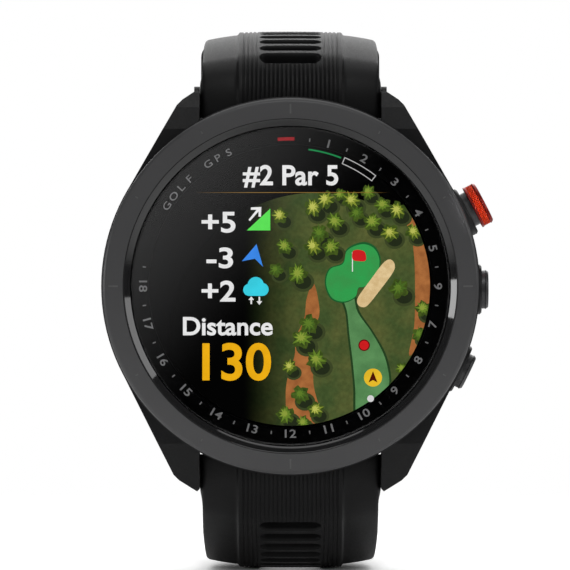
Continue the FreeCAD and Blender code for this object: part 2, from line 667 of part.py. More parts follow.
def peg(s, radius, low, high):
    return put(Part.makeCylinder(radius, high - low, Vector(0, 0, low), Z_AXIS), UPPER_PATH.place(s))


def straps():
    fixed_peg = peg(FIXED_KEEPER_S + KEEPER_WIDTH / 2, 1.2, -STRAP_T / 2 - KEEPER_GAP - 0.4, 0.2)
    save("upper_strap", upper_strap().cut(fixed_peg))
    save("fixed_keeper", joined([keeper(FIXED_KEEPER_S), fixed_peg]))
    save("sliding_keeper", keeper(SLIDING_KEEPER_S))
    place = UPPER_PATH.place(PIN_S)
    save("buckle_frame", put(buckle_frame(), place))
    save("buckle_tongue", put(buckle_tongue(), place))
    pin_half = FRAME_OUTER_HALF - 0.9
    pin = Part.makeCylinder(PIN_R, 2 * pin_half, Vector(0, -pin_half, 0), Y_AXIS)
    save("buckle_pin", put(pin, place))
    save("lower_strap", mirrored_z(lower_strap()))
    for name, flip in (("upper", False), ("lower", True)):
        pieces = {
            f"{name}_strap_hook": hook(),
            f"{name}_strap_latch": latch_track(),
            f"{name}_lug_bar": bar_x(BAR_R, BAR_HALF, BAR_Y, BAR_Z),
        }
        for node, shape in pieces.items():
            save(node, mirrored_z(shape) if flip else shape)


def main():
    os.makedirs("parts", exist_ok=True)
    case_front()
    electronics()
    rear()
    for name, values in BUTTONS.items():
        button(name, *values)
    straps()
    for label, path in (("upper", UPPER_PATH), ("lower", LOWER_PATH)):
        point, heading = path.at(path.length)
        centre, _ = path.stretches[-1][3]
        print(label, "strap length", round(path.length, 2), "heading", round(heading, 2))
        print(label, "end", [round(v, 4) for v in point], "last arc centre", [round(v, 4) for v in centre])


main()
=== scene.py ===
"""Looks of the golf GPS watch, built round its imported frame.

The row frame is in metres: +X is 3 o'clock, +Z is 12 o'clock and the dial faces -Y. Shapes are written
in millimetres and scaled by MM when a piece is made.
"""

import json
from math import atan2, cos, hypot, pi, radians, sin, sqrt

import bmesh
import bpy
import numpy as np
from mathutils import Matrix, Vector

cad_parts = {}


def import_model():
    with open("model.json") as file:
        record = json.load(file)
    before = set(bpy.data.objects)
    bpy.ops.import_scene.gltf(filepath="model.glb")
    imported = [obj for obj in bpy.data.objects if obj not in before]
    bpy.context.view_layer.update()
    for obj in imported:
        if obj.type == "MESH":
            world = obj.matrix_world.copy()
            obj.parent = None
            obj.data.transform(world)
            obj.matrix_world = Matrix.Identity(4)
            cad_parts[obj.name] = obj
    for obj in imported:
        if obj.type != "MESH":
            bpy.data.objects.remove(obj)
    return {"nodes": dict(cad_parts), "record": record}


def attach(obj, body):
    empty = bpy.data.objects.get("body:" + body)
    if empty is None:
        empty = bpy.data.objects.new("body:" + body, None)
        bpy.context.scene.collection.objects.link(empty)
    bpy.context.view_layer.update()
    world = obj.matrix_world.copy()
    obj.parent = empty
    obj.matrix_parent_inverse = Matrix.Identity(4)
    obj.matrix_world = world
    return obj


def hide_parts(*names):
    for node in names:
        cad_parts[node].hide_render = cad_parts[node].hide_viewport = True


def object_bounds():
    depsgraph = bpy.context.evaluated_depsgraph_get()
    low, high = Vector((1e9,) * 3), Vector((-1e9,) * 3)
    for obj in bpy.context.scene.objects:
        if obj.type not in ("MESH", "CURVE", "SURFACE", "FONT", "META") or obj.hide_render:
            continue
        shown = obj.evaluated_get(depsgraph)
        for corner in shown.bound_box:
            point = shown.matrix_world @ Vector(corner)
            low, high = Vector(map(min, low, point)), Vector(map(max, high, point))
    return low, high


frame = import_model()
CAD_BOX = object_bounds()
NODES = frame["nodes"]
SCENE = bpy.context.scene
MM = 0.001

# ---- driving dimensions, in millimetres, as in the part ----
BEZEL_FRONT_Y, BEZEL_BACK_Y = -14.1, -11.4
BEZEL_R, FACET_R, BORE_R, SEAT_R = 23.25, 20.65, 19.75, 18.9
LENS_R, LENS_FRONT_Y, LENS_BACK_Y = 19.7, -13.35, -12.5
RING_INNER_R, RING_Y = 17.55, -12.45
DISPLAY_R, DISPLAY_Y = 17.5, -12.1
DISPLAY_BACK_Y = -11.55

STRAP_HALF, STRAP_END_HALF, STRAP_HALF_T = 10.95, 9.9, 1.4
TAPER_Y = 46.0
BAND_HALF, BAND_STEP = 6.4, 0.35
TAIL_REACH, TAIL_RIB_GAP, PIN_RIB_GAP = 9.9, 13.0, 8.0
START_ROUND, BEAD_NECK, BACK_FLARE = 0.9, 1.8, 0.028
RIB_PITCH, RIB_DEPTH = 0.53, 0.13
PATH_Y, PATH_Z, PATH_STRAIGHT = -7.9, 20.9, 2.1
UPPER_BENDS = ((5.0, 70.0), (55.0, 54.0))
LOWER_BENDS = ((6.0, 60.0), (48.0, 113.0))
SLOT_PITCH, SLOT_LENGTH, SLOT_HEIGHT = 3.2, 7.5, 2.0
UPPER_SLOTS, LOWER_SLOTS = (7.4, 7), (9.6, 26)
BEAD_R, TONGUE_HALF = 1.65, 3.1
BAR_Y, BAR_Z, HOOK_R = -6.0, 21.8, 2.0

BUTTON_Y = -6.8
KEEPER_WIDTH, KEEPER_WALL, KEEPER_GAP, TAIL_ROOM, KEEPER_HALF = 4.4, 1.1, 0.2, 2.7, 10.55
FIXED_KEEPER_BACK, SLIDING_KEEPER_BACK = 6.4, 11.1

# ---- flat graphics: the step between two layers, and how far small letters are widened ----
LAYER, WIDE = 0.014, 1.25
PRINT_R, PRINT_HEIGHT = 18.22, 1.02
ARC_WORD, ARC_WORD_START, ARC_WORD_STEP = "GOLF GPS", 147.0, 4.6
MAP_CENTRE, MAP_R = (3.2, -6.64), 18.2


# =============================================================== materials
def set_inputs(made, **values):
    """Sets a node's input sockets by name, with _ for a space."""
    for key, value in values.items():
        made.inputs[key.replace("_", " ")].default_value = value


def node(tree, kind, **values):
    """A shader node with its input sockets set by name."""
    made = tree.nodes.new(kind)
    set_inputs(made, **values)
    return made


def new_material(name):
    """A material with its node tree and its main shader."""
    made = bpy.data.materials.new(name)
    made.use_nodes = True
    return made, made.node_tree, made.node_tree.nodes["Principled BSDF"]


def noise(tree, size_mm, detail=3.0, stretch=(1, 1, 1)):
    """Noise in the row frame's own coordinates, with spots about size_mm across."""
    place = node(tree, "ShaderNodeTexCoord")
    scaled = node(tree, "ShaderNodeMapping")
    scaled.inputs["Scale"].default_value = stretch
    made = node(tree, "ShaderNodeTexNoise", Scale=1 / (size_mm * MM), Detail=detail)
    tree.links.new(place.outputs["Object"], scaled.inputs["Vector"])
    tree.links.new(scaled.outputs["Vector"], made.inputs["Vector"])
    return made.outputs["Fac"]


def spread(tree, source, low, high):
    """A value from low to high as the source goes through its middle range."""
    made = node(tree, "ShaderNodeMapRange", From_Min=0.35, From_Max=0.65, To_Min=low, To_Max=high)
    tree.links.new(source, made.inputs["Value"])
    return made.outputs["Result"]


def smooth_range(tree, source, low, high, top=1.0):
    """A value from 0 to top as the source goes from low to high, with soft ends."""
    made = node(tree, "ShaderNodeMapRange", From_Min=low, From_Max=high, To_Max=top)
    made.interpolation_type = "SMOOTHSTEP"
    tree.links.new(source, made.inputs["Value"])
    return made.outputs["Result"]


def colour_mix(tree, **values):
    made = tree.nodes.new("ShaderNodeMix")
    made.data_type = "RGBA"
    set_inputs(made, **values)
    return made


def two_tone(tree, source, first, second):
    """A colour from first to second as the source goes from 0 to 1."""
    made = colour_mix(tree, A=(*first, 1), B=(*second, 1))
    tree.links.new(source, made.inputs["Factor"])
    return made.outputs["Result"]


def material(colour, rough, metallic=0.0, grain_mm=0.3, bump_mm=0.01, mottle_mm=4.0, vary=0.25,
             rough_vary=0.1, stretch=(1, 1, 1), coat=0.0, specular=0.5):
    """A finish with a fine grain in its surface and slow changes of colour and roughness."""
    made, tree, shader = new_material("finish")
    set_inputs(shader, Metallic=metallic, Specular_IOR_Level=specular, Coat_Weight=coat, Coat_Roughness=0.05)
    slow = noise(tree, mottle_mm, 2.0, stretch)
    fine = noise(tree, grain_mm, 4.0, stretch)
    light = tuple(min(1.0, c * (1 + vary)) for c in colour)
    dark = tuple(c * (1 - vary) for c in colour)
    tree.links.new(two_tone(tree, spread(tree, slow, 0, 1), dark, light), shader.inputs["Base Color"])
    roughness = spread(tree, fine, max(0.02, rough - rough_vary), min(1.0, rough + rough_vary))
    tree.links.new(roughness, shader.inputs["Roughness"])
    if bump_mm:
        bump = node(tree, "ShaderNodeBump", Strength=1.0, Distance=bump_mm * MM)
        tree.links.new(fine, bump.inputs["Height"])
        tree.links.new(bump.outputs["Normal"], shader.inputs["Normal"])
    return made


def dark_material(name):
    """A material that returns no light, ready to shine by itself."""
    made, tree, shader = new_material(name)
    set_inputs(shader, Base_Color=(0, 0, 0, 1), Specular_IOR_Level=0.0, Emission_Strength=1.0)
    return made, tree, shader


def lit(name, screen_colour, mottle=None):
    """A shining part of the display. mottle is the size and screen colour of its second tone."""
    made, tree, shader = dark_material(name)
    shader.inputs["Roughness"].default_value = 1.0
    colour = srgb(*screen_colour)
    size_mm, second = (mottle[0], srgb(*mottle[1])) if mottle else (1.5, tuple(c * 0.9 for c in colour))
    tone = two_tone(tree, spread(tree, noise(tree, size_mm, 4.0), 0, 1), colour, second)
    tree.links.new(tone, shader.inputs["Emission Color"])
    return made


def srgb(*screen_values):
    """Linear colour from the 0 to 255 values of a screen."""
    shares = [value / 255 for value in screen_values]
    return tuple(c / 12.92 if c < 0.04045 else ((c + 0.055) / 1.055) ** 2.4 for c in shares)


def glass():
    made, _, shader = new_material("cover_glass")
    set_inputs(shader, Base_Color=(1, 1, 1, 1), Transmission_Weight=1.0, IOR=1.45, Roughness=0.0)
    return made


FINISH = {
    "case_polymer": material((0.010, 0.010, 0.011), 0.42, grain_mm=0.22, bump_mm=0.008,
                             vary=0.1, specular=0.4),
    "bezel_ceramic": material((0.11, 0.11, 0.113), 0.33, grain_mm=0.5, bump_mm=0.0,
                              mottle_mm=15, vary=0.03, rough_vary=0.03, specular=0.6),
    "bezel_polish": material((0.02, 0.02, 0.021), 0.05, grain_mm=1.0, bump_mm=0.0,
                             mottle_mm=12, vary=0.05, rough_vary=0.01, specular=1.0),
    "bezel_mark": material((0.2, 0.2, 0.2), 0.5, vary=0.05),
    "black_print": material((0.002, 0.002, 0.0023), 0.5, bump_mm=0.0, vary=0.1, specular=0.03),
    "lens_glass": glass(),
    "inner_polymer": material((0.03, 0.03, 0.032), 0.5, grain_mm=0.2, bump_mm=0.01),
    "board": material((0.012, 0.09, 0.035), 0.35, grain_mm=0.6, vary=0.5, mottle_mm=1.2, coat=0.4),
    "shield_metal": material((0.62, 0.63, 0.65), 0.35, 1.0, stretch=(1, 1, 8)),
    "chip": material((0.015, 0.015, 0.016), 0.5, grain_mm=0.1),
    "battery_foil": material((0.5, 0.51, 0.53), 0.4, 1.0, grain_mm=0.8, bump_mm=0.02),
    "antenna_copper": material((0.75, 0.42, 0.22), 0.3, 1.0),
    "flex": material((0.35, 0.14, 0.03), 0.35, vary=0.4, coat=0.5),
    "rear_polymer": material((0.014, 0.014, 0.015), 0.32, grain_mm=0.18, bump_mm=0.008, vary=0.15),
    "seal_rubber": material((0.012, 0.012, 0.013), 0.6),
    "sensor_glass": material((0.004, 0.004, 0.006), 0.06, bump_mm=0.0005, rough_vary=0.02, coat=1.0),
    "led": material((0.1, 0.5, 0.15), 0.2),
    "photodiode": material((0.03, 0.03, 0.06), 0.15),
    "contact_gold": material((0.9, 0.62, 0.25), 0.25, 1.0),
    "steel": material((0.55, 0.55, 0.56), 0.3, 1.0, grain_mm=0.15, stretch=(0.1, 1, 1)),
    "dark_steel": material((0.045, 0.045, 0.048), 0.32, 1.0, grain_mm=0.12, bump_mm=0.003,
                           stretch=(0.1, 1, 1), vary=0.2),
    "button_red": material((1.0, 0.06, 0.01), 0.38, 0.05, grain_mm=0.12, bump_mm=0.004, vary=0.18),
    "button_rim": material((0.32, 0.018, 0.012), 0.3, 0.6, grain_mm=0.15, bump_mm=0.002, vary=0.2),
    "button_grey": material((0.12, 0.12, 0.123), 0.4, 0.8, grain_mm=0.12, bump_mm=0.002, vary=0.2),
    "vent_mesh": material((0.2, 0.2, 0.21), 0.4, 1.0, grain_mm=0.12, bump_mm=0.05),
    "strap_silicone": material((0.0085, 0.0085, 0.009), 0.5, grain_mm=0.12, bump_mm=0.006,
                               mottle_mm=6.0, vary=0.12, specular=0.35),
    "numeral_print": material((0.46, 0.46, 0.47), 0.5, vary=0.08),
}
for finish_name, finish in FINISH.items():
    finish.name = finish_name
SLOT_FINISH = {"index_print": "black_print", "display": "black_print"}


def dress_cad_nodes():
    """Every CAD node gets its slot's procedural finish."""
    for entry in frame["record"]["subparts"]:
        slot = entry["material_slot"]
        chosen = FINISH[SLOT_FINISH.get(slot, slot)]
        mesh = NODES[entry["node"]].data
        mesh.materials.clear()
        mesh.materials.append(chosen)


# =============================================================== mesh helpers
def add_object(name, verts, faces, face_materials=(0,)):
    """A mesh in millimetres. face_materials is one index for all faces, or one for each."""
    mesh = bpy.data.meshes.new(name)
    mesh.from_pydata([tuple(v) for v in verts], [], faces)
    if len(face_materials) == len(faces):
        mesh.polygons.foreach_set("material_index", face_materials)
    mesh.update()
    made = bpy.data.objects.new(name, mesh)
    SCENE.collection.objects.link(made)
    return made


def finished(obj, body, finishes, sharp_deg=32.0, replaced=()):
    """Scales the mesh to metres, smooths it, gives it its finishes and lets it ride on its body."""
    mesh = obj.data
    mesh.transform(Matrix.Scale(MM, 4))
    zones = [polygon.material_index for polygon in mesh.polygons]
    mesh.materials.clear()
    for finish in finishes:
        mesh.materials.append(FINISH[finish] if isinstance(finish, str) else finish)
    if len(finishes) > 1:
        mesh.polygons.foreach_set("material_index", zones)
    mesh.polygons.foreach_set("use_smooth", [True] * len(mesh.polygons))
    mesh.set_sharp_from_angle(angle=radians(sharp_deg))
    mesh.update()
    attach(obj, body)
    if replaced:
        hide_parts(*replaced)
    return obj


def rounded(points, cut, closed=True, steps=5):
    """A 2-D outline with each corner replaced by a short curve. cut is one length or one for each corner."""
    cuts = cut if isinstance(cut, (list, tuple)) else [cut] * len(points)
    result = []
    for index, (corner, reach) in enumerate(zip(points, cuts)):
        corner = Vector(corner)
        at_end = not closed and index in (0, len(points) - 1)
        if at_end or reach == 0:
            result.append(tuple(corner))
            continue
        before = Vector(points[index - 1]) - corner
        after = Vector(points[(index + 1) % len(points)]) - corner
        reach = min(reach, 0.48 * before.length, 0.48 * after.length)
        start, stop = corner + before.normalized() * reach, corner + after.normalized() * reach
        for step in range(steps + 1):
            t = step / steps
            spot = start * (1 - t) ** 2 + corner * 2 * t * (1 - t) + stop * t ** 2
            result.append(tuple(spot))
    return result


def lathe(name, profile, segments, closed, axis="Y", zones=None):
    """(radius, along) points turned about an axis. A point with no radius becomes one vertex.

    zones gives a material index for each profile edge.
    """
    verts, rows = [], []
    for radius, along in profile:
        if radius < 1e-6:
            rows.append([len(verts)] * segments)
            verts.append((0, along, 0) if axis == "Y" else (along, 0, 0))
            continue
        rows.append(list(range(len(verts), len(verts) + segments)))
        for step in range(segments):
            turn = 2 * pi * step / segments
            a, b = radius * cos(turn), radius * sin(turn)
            verts.append((a, along, b) if axis == "Y" else (along, a, b))
    faces, marks = [], []
    count = len(profile) if closed else len(profile) - 1
    for index in range(count):
        low, high = rows[index], rows[(index + 1) % len(profile)]
        for step in range(segments):
            nxt = (step + 1) % segments
            ring_face = [low[step], low[nxt], high[nxt], high[step]]
            ring_face = list(dict.fromkeys(ring_face))
            faces.append(ring_face)
            marks.append(zones[index] if zones else 0)
    made = add_object(name, verts, faces, marks)
    made.data.validate()
    outward_normals(made)
    return made


def outward_normals(obj):
    work = bmesh.new()
    work.from_mesh(obj.data)
    bmesh.ops.recalc_face_normals(work, faces=work.faces)
    work.to_mesh(obj.data)
    work.free()


def closed_object(name, verts, faces):
    """A closed mesh whose faces all look outwards."""
    made = add_object(name, verts, faces)
    outward_normals(made)
    return made


def carve(obj, cutter, operation="DIFFERENCE"):
    """The object's mesh with a cutter taken away, and the cutter is deleted."""
    modifier = obj.modifiers.new("carve", "BOOLEAN")
    modifier.operation = operation
    modifier.solver = "EXACT"
    modifier.object = cutter
    bpy.context.view_layer.update()
    graph = bpy.context.evaluated_depsgraph_get()
    result = bpy.data.meshes.new_from_object(obj.evaluated_get(graph))
    obj.modifiers.clear()
    obj.data = result
    bpy.data.objects.remove(cutter)
    return obj


def joined_mesh(parts):
    """Vertices and faces of several (verts, faces) pairs as one pair."""
    verts, faces = [], []
    for more_verts, more_faces in parts:
        start = len(verts)
        verts += list(more_verts)
        faces += [[i + start for i in face] for face in more_faces]
    return verts, faces


def box_mesh(low, high):
    (x0, y0, z0), (x1, y1, z1) = low, high
    verts = [(x, y, z) for x in (x0, x1) for y in (y0, y1) for z in (z0, z1)]
    faces = [[0, 1, 3, 2], [4, 6, 7, 5], [0, 4, 5, 1], [2, 3, 7, 6], [0, 2, 6, 4], [1, 5, 7, 3]]
    return verts, faces


def moved(verts, matrix):
    return [tuple(matrix @ Vector(v)) for v in verts]


def ring_faces(low, high, count):
    """Faces between two rings of points, whose first vertices are numbered low and high."""
    turns = [(step, (step + 1) % count) for step in range(count)]
    return [[low + a, low + b, high + b, high + a] for a, b in turns]


def prism(rings):
    """A closed solid through rings of points with the same count."""
    count = len(rings[0])
    verts = [p for ring in rings for p in ring]
    faces = []
    for level in range(len(rings) - 1):
        faces += ring_faces(level * count, (level + 1) * count, count)
    faces.append(list(range(count))[::-1])
    faces.append(list(range(len(verts) - count, len(verts))))
    return verts, faces


# =============================================================== bezel and lens
def bezel():
    """The ceramic ring: an outward-sloping satin facet, a polished inner chamfer and engraved marks."""
    corners = [
        (SEAT_R, BEZEL_BACK_Y), (BEZEL_R, BEZEL_BACK_Y), (BEZEL_R, -13.35), (22.9, BEZEL_FRONT_Y + 0.44),
        (FACET_R + 0.08, BEZEL_FRONT_Y), (FACET_R - 0.08, BEZEL_FRONT_Y + 0.02),
        (BORE_R + 0.03, LENS_FRONT_Y), (BORE_R, LENS_BACK_Y + 0.15), (SEAT_R, LENS_BACK_Y + 0.15),
    ]
    cuts = [0.05, 0.15, 0.22, 0.16, 0.07, 0.06, 0.05, 0.02, 0.02]
    steps = 5
    profile = rounded(corners, cuts, steps=steps)
    per_corner = steps + 1
    zones = []
    for index in range(len(profile)):
        corner = index // per_corner
        if corner == 5 or (corner == 4 and index % per_corner > 2):
            zones.append(1)
        # Painted shade: the bore wall and the rounding above it take the near-black print finish, so they
        # show no reflection at the lens's edge.
        elif corner >= 6:
            zones.append(2)
        else:
            zones.append(0)
    ring = lathe("bezel_ring", profile, 480, True, zones=zones)
    slope = atan2(0.44, 22.9 - FACET_R - 0.08)
    grooves, fillings = [], []
    for hour in range(12):
        quarter = hour % 3 == 0
        reach = (-0.62, 0.62) if quarter else (-0.2, 0.2)
        half = 0.11 if quarter else 0.09
        turn = Matrix.Rotation(radians(30 * hour), 4, "Y")
        middle = Matrix.Translation((21.92, BEZEL_FRONT_Y + 0.245, 0)) @ Matrix.Rotation(slope, 4, "Z")
        for store, depth, top in ((grooves, 0.1, -1.0), (fillings, 0.12, 0.04)):
            verts, faces = box_mesh((reach[0], top, -half), (reach[1], depth, half))
            store.append((moved(verts, turn @ middle), faces))
    carve(ring, closed_object("bezel_mark_cutter", *joined_mesh(grooves)))
    # The third finish, the near-black print, is painted shade on the ceramic bore wall.
    finished(ring, "case", ["bezel_ceramic", "bezel_polish", "black_print"],
             sharp_deg=40, replaced=["bezel"])
    paint = closed_object("bezel_mark_paint", *joined_mesh(fillings))
    finished(paint, "case", ["bezel_mark"])


def lens():
    flat_r = LENS_R - 0.3
    corners = [(0, LENS_FRONT_Y), (flat_r, LENS_FRONT_Y), (LENS_R, LENS_FRONT_Y), (LENS_R, LENS_BACK_Y),
               (flat_r, LENS_BACK_Y), (0, LENS_BACK_Y)]
    profile = rounded(corners, [0, 0, 0.08, 0.05, 0, 0], closed=False)
    made = lathe("cover_glass", profile, 256, False)
    finished(made, "case", ["lens_glass"], replaced=["cover_lens"])
    made.visible_shadow = False


def index_ring():
    """The black printed ring under the lens's edge, reaching out to the bezel's bore."""
    profile = [(RING_INNER_R, RING_Y), (LENS_R - 0.02, RING_Y), (LENS_R - 0.02, RING_Y + 0.06),
               (SEAT_R - 0.05, RING_Y + 0.06), (SEAT_R - 0.05, RING_Y + 0.2), (RING_INNER_R, RING_Y + 0.2)]
    made = lathe("hole_ring", profile, 256, True)
    finished(made, "case", ["black_print"], replaced=["hole_index_ring"])


# =============================================================== flat graphics under the lens
def flat_mesh(outline_list, y, thickness=0.008):
    """Thin plates facing -Y, one for each outline of (x, z) points in millimetres."""
    parts = []
    for outline in outline_list:
        front = [(x, y, z) for x, z in outline]
        back = [(x, y + thickness, z) for x, z in outline]
        parts.append(prism([front, back]))
    return joined_mesh(parts)


def graphic(name, outlines, layer, finish):
    """A printed or lit shape on the display, in front of the layers below it."""
    made = closed_object(name, *flat_mesh(outlines, DISPLAY_Y - LAYER * layer))
    return finished(made, "case", [finish])


def lit_shape(name, outlines, layer, screen_colour, mottle=None):
    """A graphic that shines in a colour of its own."""
    return graphic(name, outlines, layer, lit(name, screen_colour, mottle))


def lettering(name, text, box, layer_y, finish, weight=0.0, turn=0.0, squeeze=True):
    """Flat letters that fill a box of (x0, x1, z0, z1), or that are centred on it when squeeze is off."""
    curve = bpy.data.curves.new(name, "FONT")
    curve.body = text
    curve.size = 10.0
    curve.offset = weight
    curve.resolution_u = 6
    curve.align_x = "CENTER"
    holder = bpy.data.objects.new(name + "_outline", curve)
    SCENE.collection.objects.link(holder)
    bpy.context.view_layer.update()
    graph = bpy.context.evaluated_depsgraph_get()
    mesh = bpy.data.meshes.new_from_object(holder.evaluated_get(graph))
    bpy.data.objects.remove(holder)
    points = np.array([v.co for v in mesh.vertices])
    low, high = points.min(0), points.max(0)
    x0, x1, z0, z1 = box
    grow_z = (z1 - z0) / (high[1] - low[1])
    grow_x = (x1 - x0) / (high[0] - low[0]) if squeeze else grow_z * WIDE
    middle = (low + high) / 2
    place = Matrix.Translation(((x0 + x1) / 2, layer_y, (z0 + z1) / 2)) @ Matrix.Rotation(turn, 4, "Y")
    for vertex, point in zip(mesh.vertices, points - middle):
        vertex.co = place @ Vector((point[0] * grow_x, 0.0, point[1] * grow_z))
    made = bpy.data.objects.new(name, mesh)
    SCENE.collection.objects.link(made)
    for polygon in mesh.polygons:
        if polygon.normal.y > 0:
            polygon.flip()
    return finished(made, "case", [finish])


def circle(x, z, radius, count=32, squash=1.0):
    """Points round a circle, or round an oval when squash makes it less high."""
    points = []
    for step in range(count):
        angle = 2 * pi * step / count
        a, b = radius * cos(angle), radius * squash * sin(angle)
        points.append((x + a, z + b))
    return points


def arc_band(radius, width, from_deg, to_deg, count=24):
    """An (x, z) outline of an arc-shaped band round the dial's centre, by its angle up from 3 o'clock."""
    angles = [radians(from_deg + (to_deg - from_deg) * i / count) for i in range(count + 1)]
    low, high = radius - width / 2, radius + width / 2
    inner = [(low * cos(a), low * sin(a)) for a in angles]
    outer = [(high * cos(a), high * sin(a)) for a in reversed(angles)]
    return inner + outer


def smooth_outline(points, steps=6, closed=True):
    """A Catmull-Rom curve through given (x, z) points."""
    result = []
    count = len(points)
    for index in range(count if closed else count - 1):
        p0, p1, p2, p3 = (Vector(points[(index + k) % count]) for k in (-1, 0, 1, 2))
        for step in range(steps):
            t = step / steps
            spot = 0.5 * (2 * p1 + (p2 - p0) * t + (2 * p0 - 5 * p1 + 4 * p2 - p3) * t * t
                          + (3 * p1 - p0 - 3 * p2 + p3) * t ** 3)
            result.append(tuple(spot))
    return result


def inside_display(points):
    """Points pulled in to the lit circle."""
    radius = DISPLAY_R - 0.25
    held = []
    for x, z in points:
        away = hypot(x, z)
        share = min(1.0, radius / away) if away else 1.0
        held.append((x * share, z * share))
    return held


# =============================================================== ring numerals
def ring_print():
    """Hole numbers 1 to 18 clockwise from just right of 12 o'clock, with ticks between them."""
    radius, height, front = PRINT_R, PRINT_HEIGHT, RING_Y - 0.02
    for hole in range(1, 19):
        clock = 90 - 15 * hole
        angle = radians(clock)
        x, z = radius * cos(angle), radius * sin(angle)
        upright = 90 - clock if hole <= 5 else 270 - clock
        box = (x - height, x + height, z - height / 2, z + height / 2)
        lettering(f"hole_number_{hole}", str(hole), box, front, "numeral_print", 0.12,
                  radians(upright), squeeze=False)
    for index, letter in enumerate(ARC_WORD):
        angle = radians(ARC_WORD_START - ARC_WORD_STEP * index)
        if letter == " ":
            continue
        x, z = radius * cos(angle), radius * sin(angle)
        box = (x - height, x + height, z - 0.44, z + 0.44)
        lettering(f"arc_letter_{index + 1}", letter, box, front, "numeral_print", 0.05,
                  pi / 2 - angle, squeeze=False)
    # Painted light: the printed red dash glows by itself, with the finish made for the display's shining
    # parts.
    mark = closed_object("red_dash", *flat_mesh([arc_band(radius, 0.42, 95.0, 88.5, 6)], front))
    finished(mark, "case", [lit("red_dash", (150, 30, 36))])
    ticks = []
    for step in range(24):
        clock = 82.5 - 15 * step
        if 90 < clock % 360 < 172:
            continue
        ticks.append(arc_band(radius, 0.42, clock - 0.22, clock + 0.22, 1))
    made = closed_object("hole_ticks", *flat_mesh(ticks, front))
    finished(made, "case", ["numeral_print"])


# =============================================================== display
WHITE = (240, 240, 240)


def display_base():
    profile = [(0, DISPLAY_Y), (DISPLAY_R, DISPLAY_Y), (DISPLAY_R, DISPLAY_BACK_Y), (0, DISPLAY_BACK_Y)]
    made = lathe("display_screen", profile, 256, False)
    finished(made, "case", ["black_print"], replaced=["display_panel"])


def readings():
    """The hole's name, three playing conditions and the distance."""
    front = DISPLAY_Y - 8 * LAYER
    white, gold = lit("text_white", WHITE), lit("text_gold", (245, 180, 22))
    lettering("title_text", "#2 Par 5", (-5.9, 5.9, 12.2, 15.0), front, white, 0.22)
    rows = (("condition_slope", "+5", -11.0, -6.8, 6.6), ("condition_wind", "-3", -10.4, -7.1, 2.2),
            ("condition_air", "+2", -11.0, -6.8, -1.9))
    for name, text, x0, x1, z0 in rows:
        lettering(name, text, (x0, x1, z0, z0 + 2.6), front, white, 0.2)
    lettering("distance_label", "Distance", (-13.3, -2.2, -6.1, -3.8), front, white, 0.22)
    lettering("distance_number", "130", (-10.9, -2.4, -11.7, -7.0), front, gold, 0.2)
    line = [(-11.9, 11.58), (-4, 11.55), (8, 11.55), (12.2, 11.58), (8, 11.62), (-4, 11.62)]
    lit_shape("title_line", [line], 8, (150, 115, 50))
    lit_shape("slope_triangle", [[(-5.4, 6.9), (-2.5, 6.9), (-2.5, 9.6)]], 8, (95, 235, 90))
    arrow = [(-5.2, 8.2), (-5.0, 8.05), (-3.95, 9.25), (-3.95, 8.6), (-3.65, 8.6), (-3.6, 9.8), (-4.9, 9.75),
             (-4.9, 9.45), (-4.2, 9.45)]
    graphic("slope_arrow", [arrow], 9, white)
    lit_shape("wind_arrow", [[(-4.2, 5.2), (-6.0, 3.1), (-4.4, 3.4), (-3.4, 2.4)]], 8, (60, 140, 240))
    puffs = [circle(-5.1, -0.45, 0.75), circle(-4.3, 0.15, 1.0), circle(-3.5, -0.4, 0.8),
             [(-5.1, -1.2), (-3.5, -1.2), (-3.5, -0.2), (-5.1, -0.2)]]
    lit_shape("air_cloud", puffs, 8, (60, 215, 235))
    rising = [(-4.95, -2.2), (-4.75, -2.2), (-4.75, -1.7), (-4.5, -1.7), (-4.85, -1.25), (-5.2, -1.7),
              (-4.95, -1.7)]
    falling = [(-3.95, -1.3), (-3.75, -1.3), (-3.75, -1.85), (-3.5, -1.85), (-3.85, -2.3), (-4.2, -1.85),
               (-3.95, -1.85)]
    graphic("air_arrows", [rising, falling], 9, white)
    lit_shape("hole_1_arc", [arc_band(17.05, 0.2, 82.5, 68.5)], 7, (25, 135, 75))
    frame_arc = [arc_band(17.25, 0.11, 67, 52.5), arc_band(16.45, 0.11, 67, 52.5),
                 arc_band(16.85, 0.9, 67.3, 66.9, 1), arc_band(16.85, 0.9, 52.6, 52.2, 1)]
    lit_shape("hole_2_frame", frame_arc, 7, (190, 190, 190))


def map_ground():
    """The aerial map's ground: the part of the display inside a second circle, fading out on the left."""
    made, tree, shader = dark_material("map_ground")
    tone = two_tone(tree, spread(tree, noise(tree, 3.5, 5.0), 0, 1), srgb(94, 100, 54), srgb(68, 86, 46))
    speck = two_tone(tree, spread(tree, noise(tree, 0.5, 3.0), 0, 1), (0.8, 0.8, 0.8), (1, 1, 1))
    speckled = colour_mix(tree, Factor=1.0)
    speckled.blend_type = "MULTIPLY"
    tree.links.new(tone, speckled.inputs["A"])
    tree.links.new(speck, speckled.inputs["B"])
    place = node(tree, "ShaderNodeTexCoord")
    split = node(tree, "ShaderNodeSeparateXYZ")
    tree.links.new(place.outputs["Object"], split.inputs["Vector"])
    shown = colour_mix(tree, A=(0.001, 0.001, 0.001, 1))
    fade_from, fade_to = -6.0 * MM, 3.0 * MM
    tree.links.new(smooth_range(tree, split.outputs["X"], fade_from, fade_to), shown.inputs["Factor"])
    tree.links.new(speckled.outputs["Result"], shown.inputs["B"])
    tree.links.new(shown.outputs["Result"], shader.inputs["Emission Color"])
    graphic("map_ground", [inside_display(circle(*MAP_CENTRE, MAP_R, 160))], 1, made)


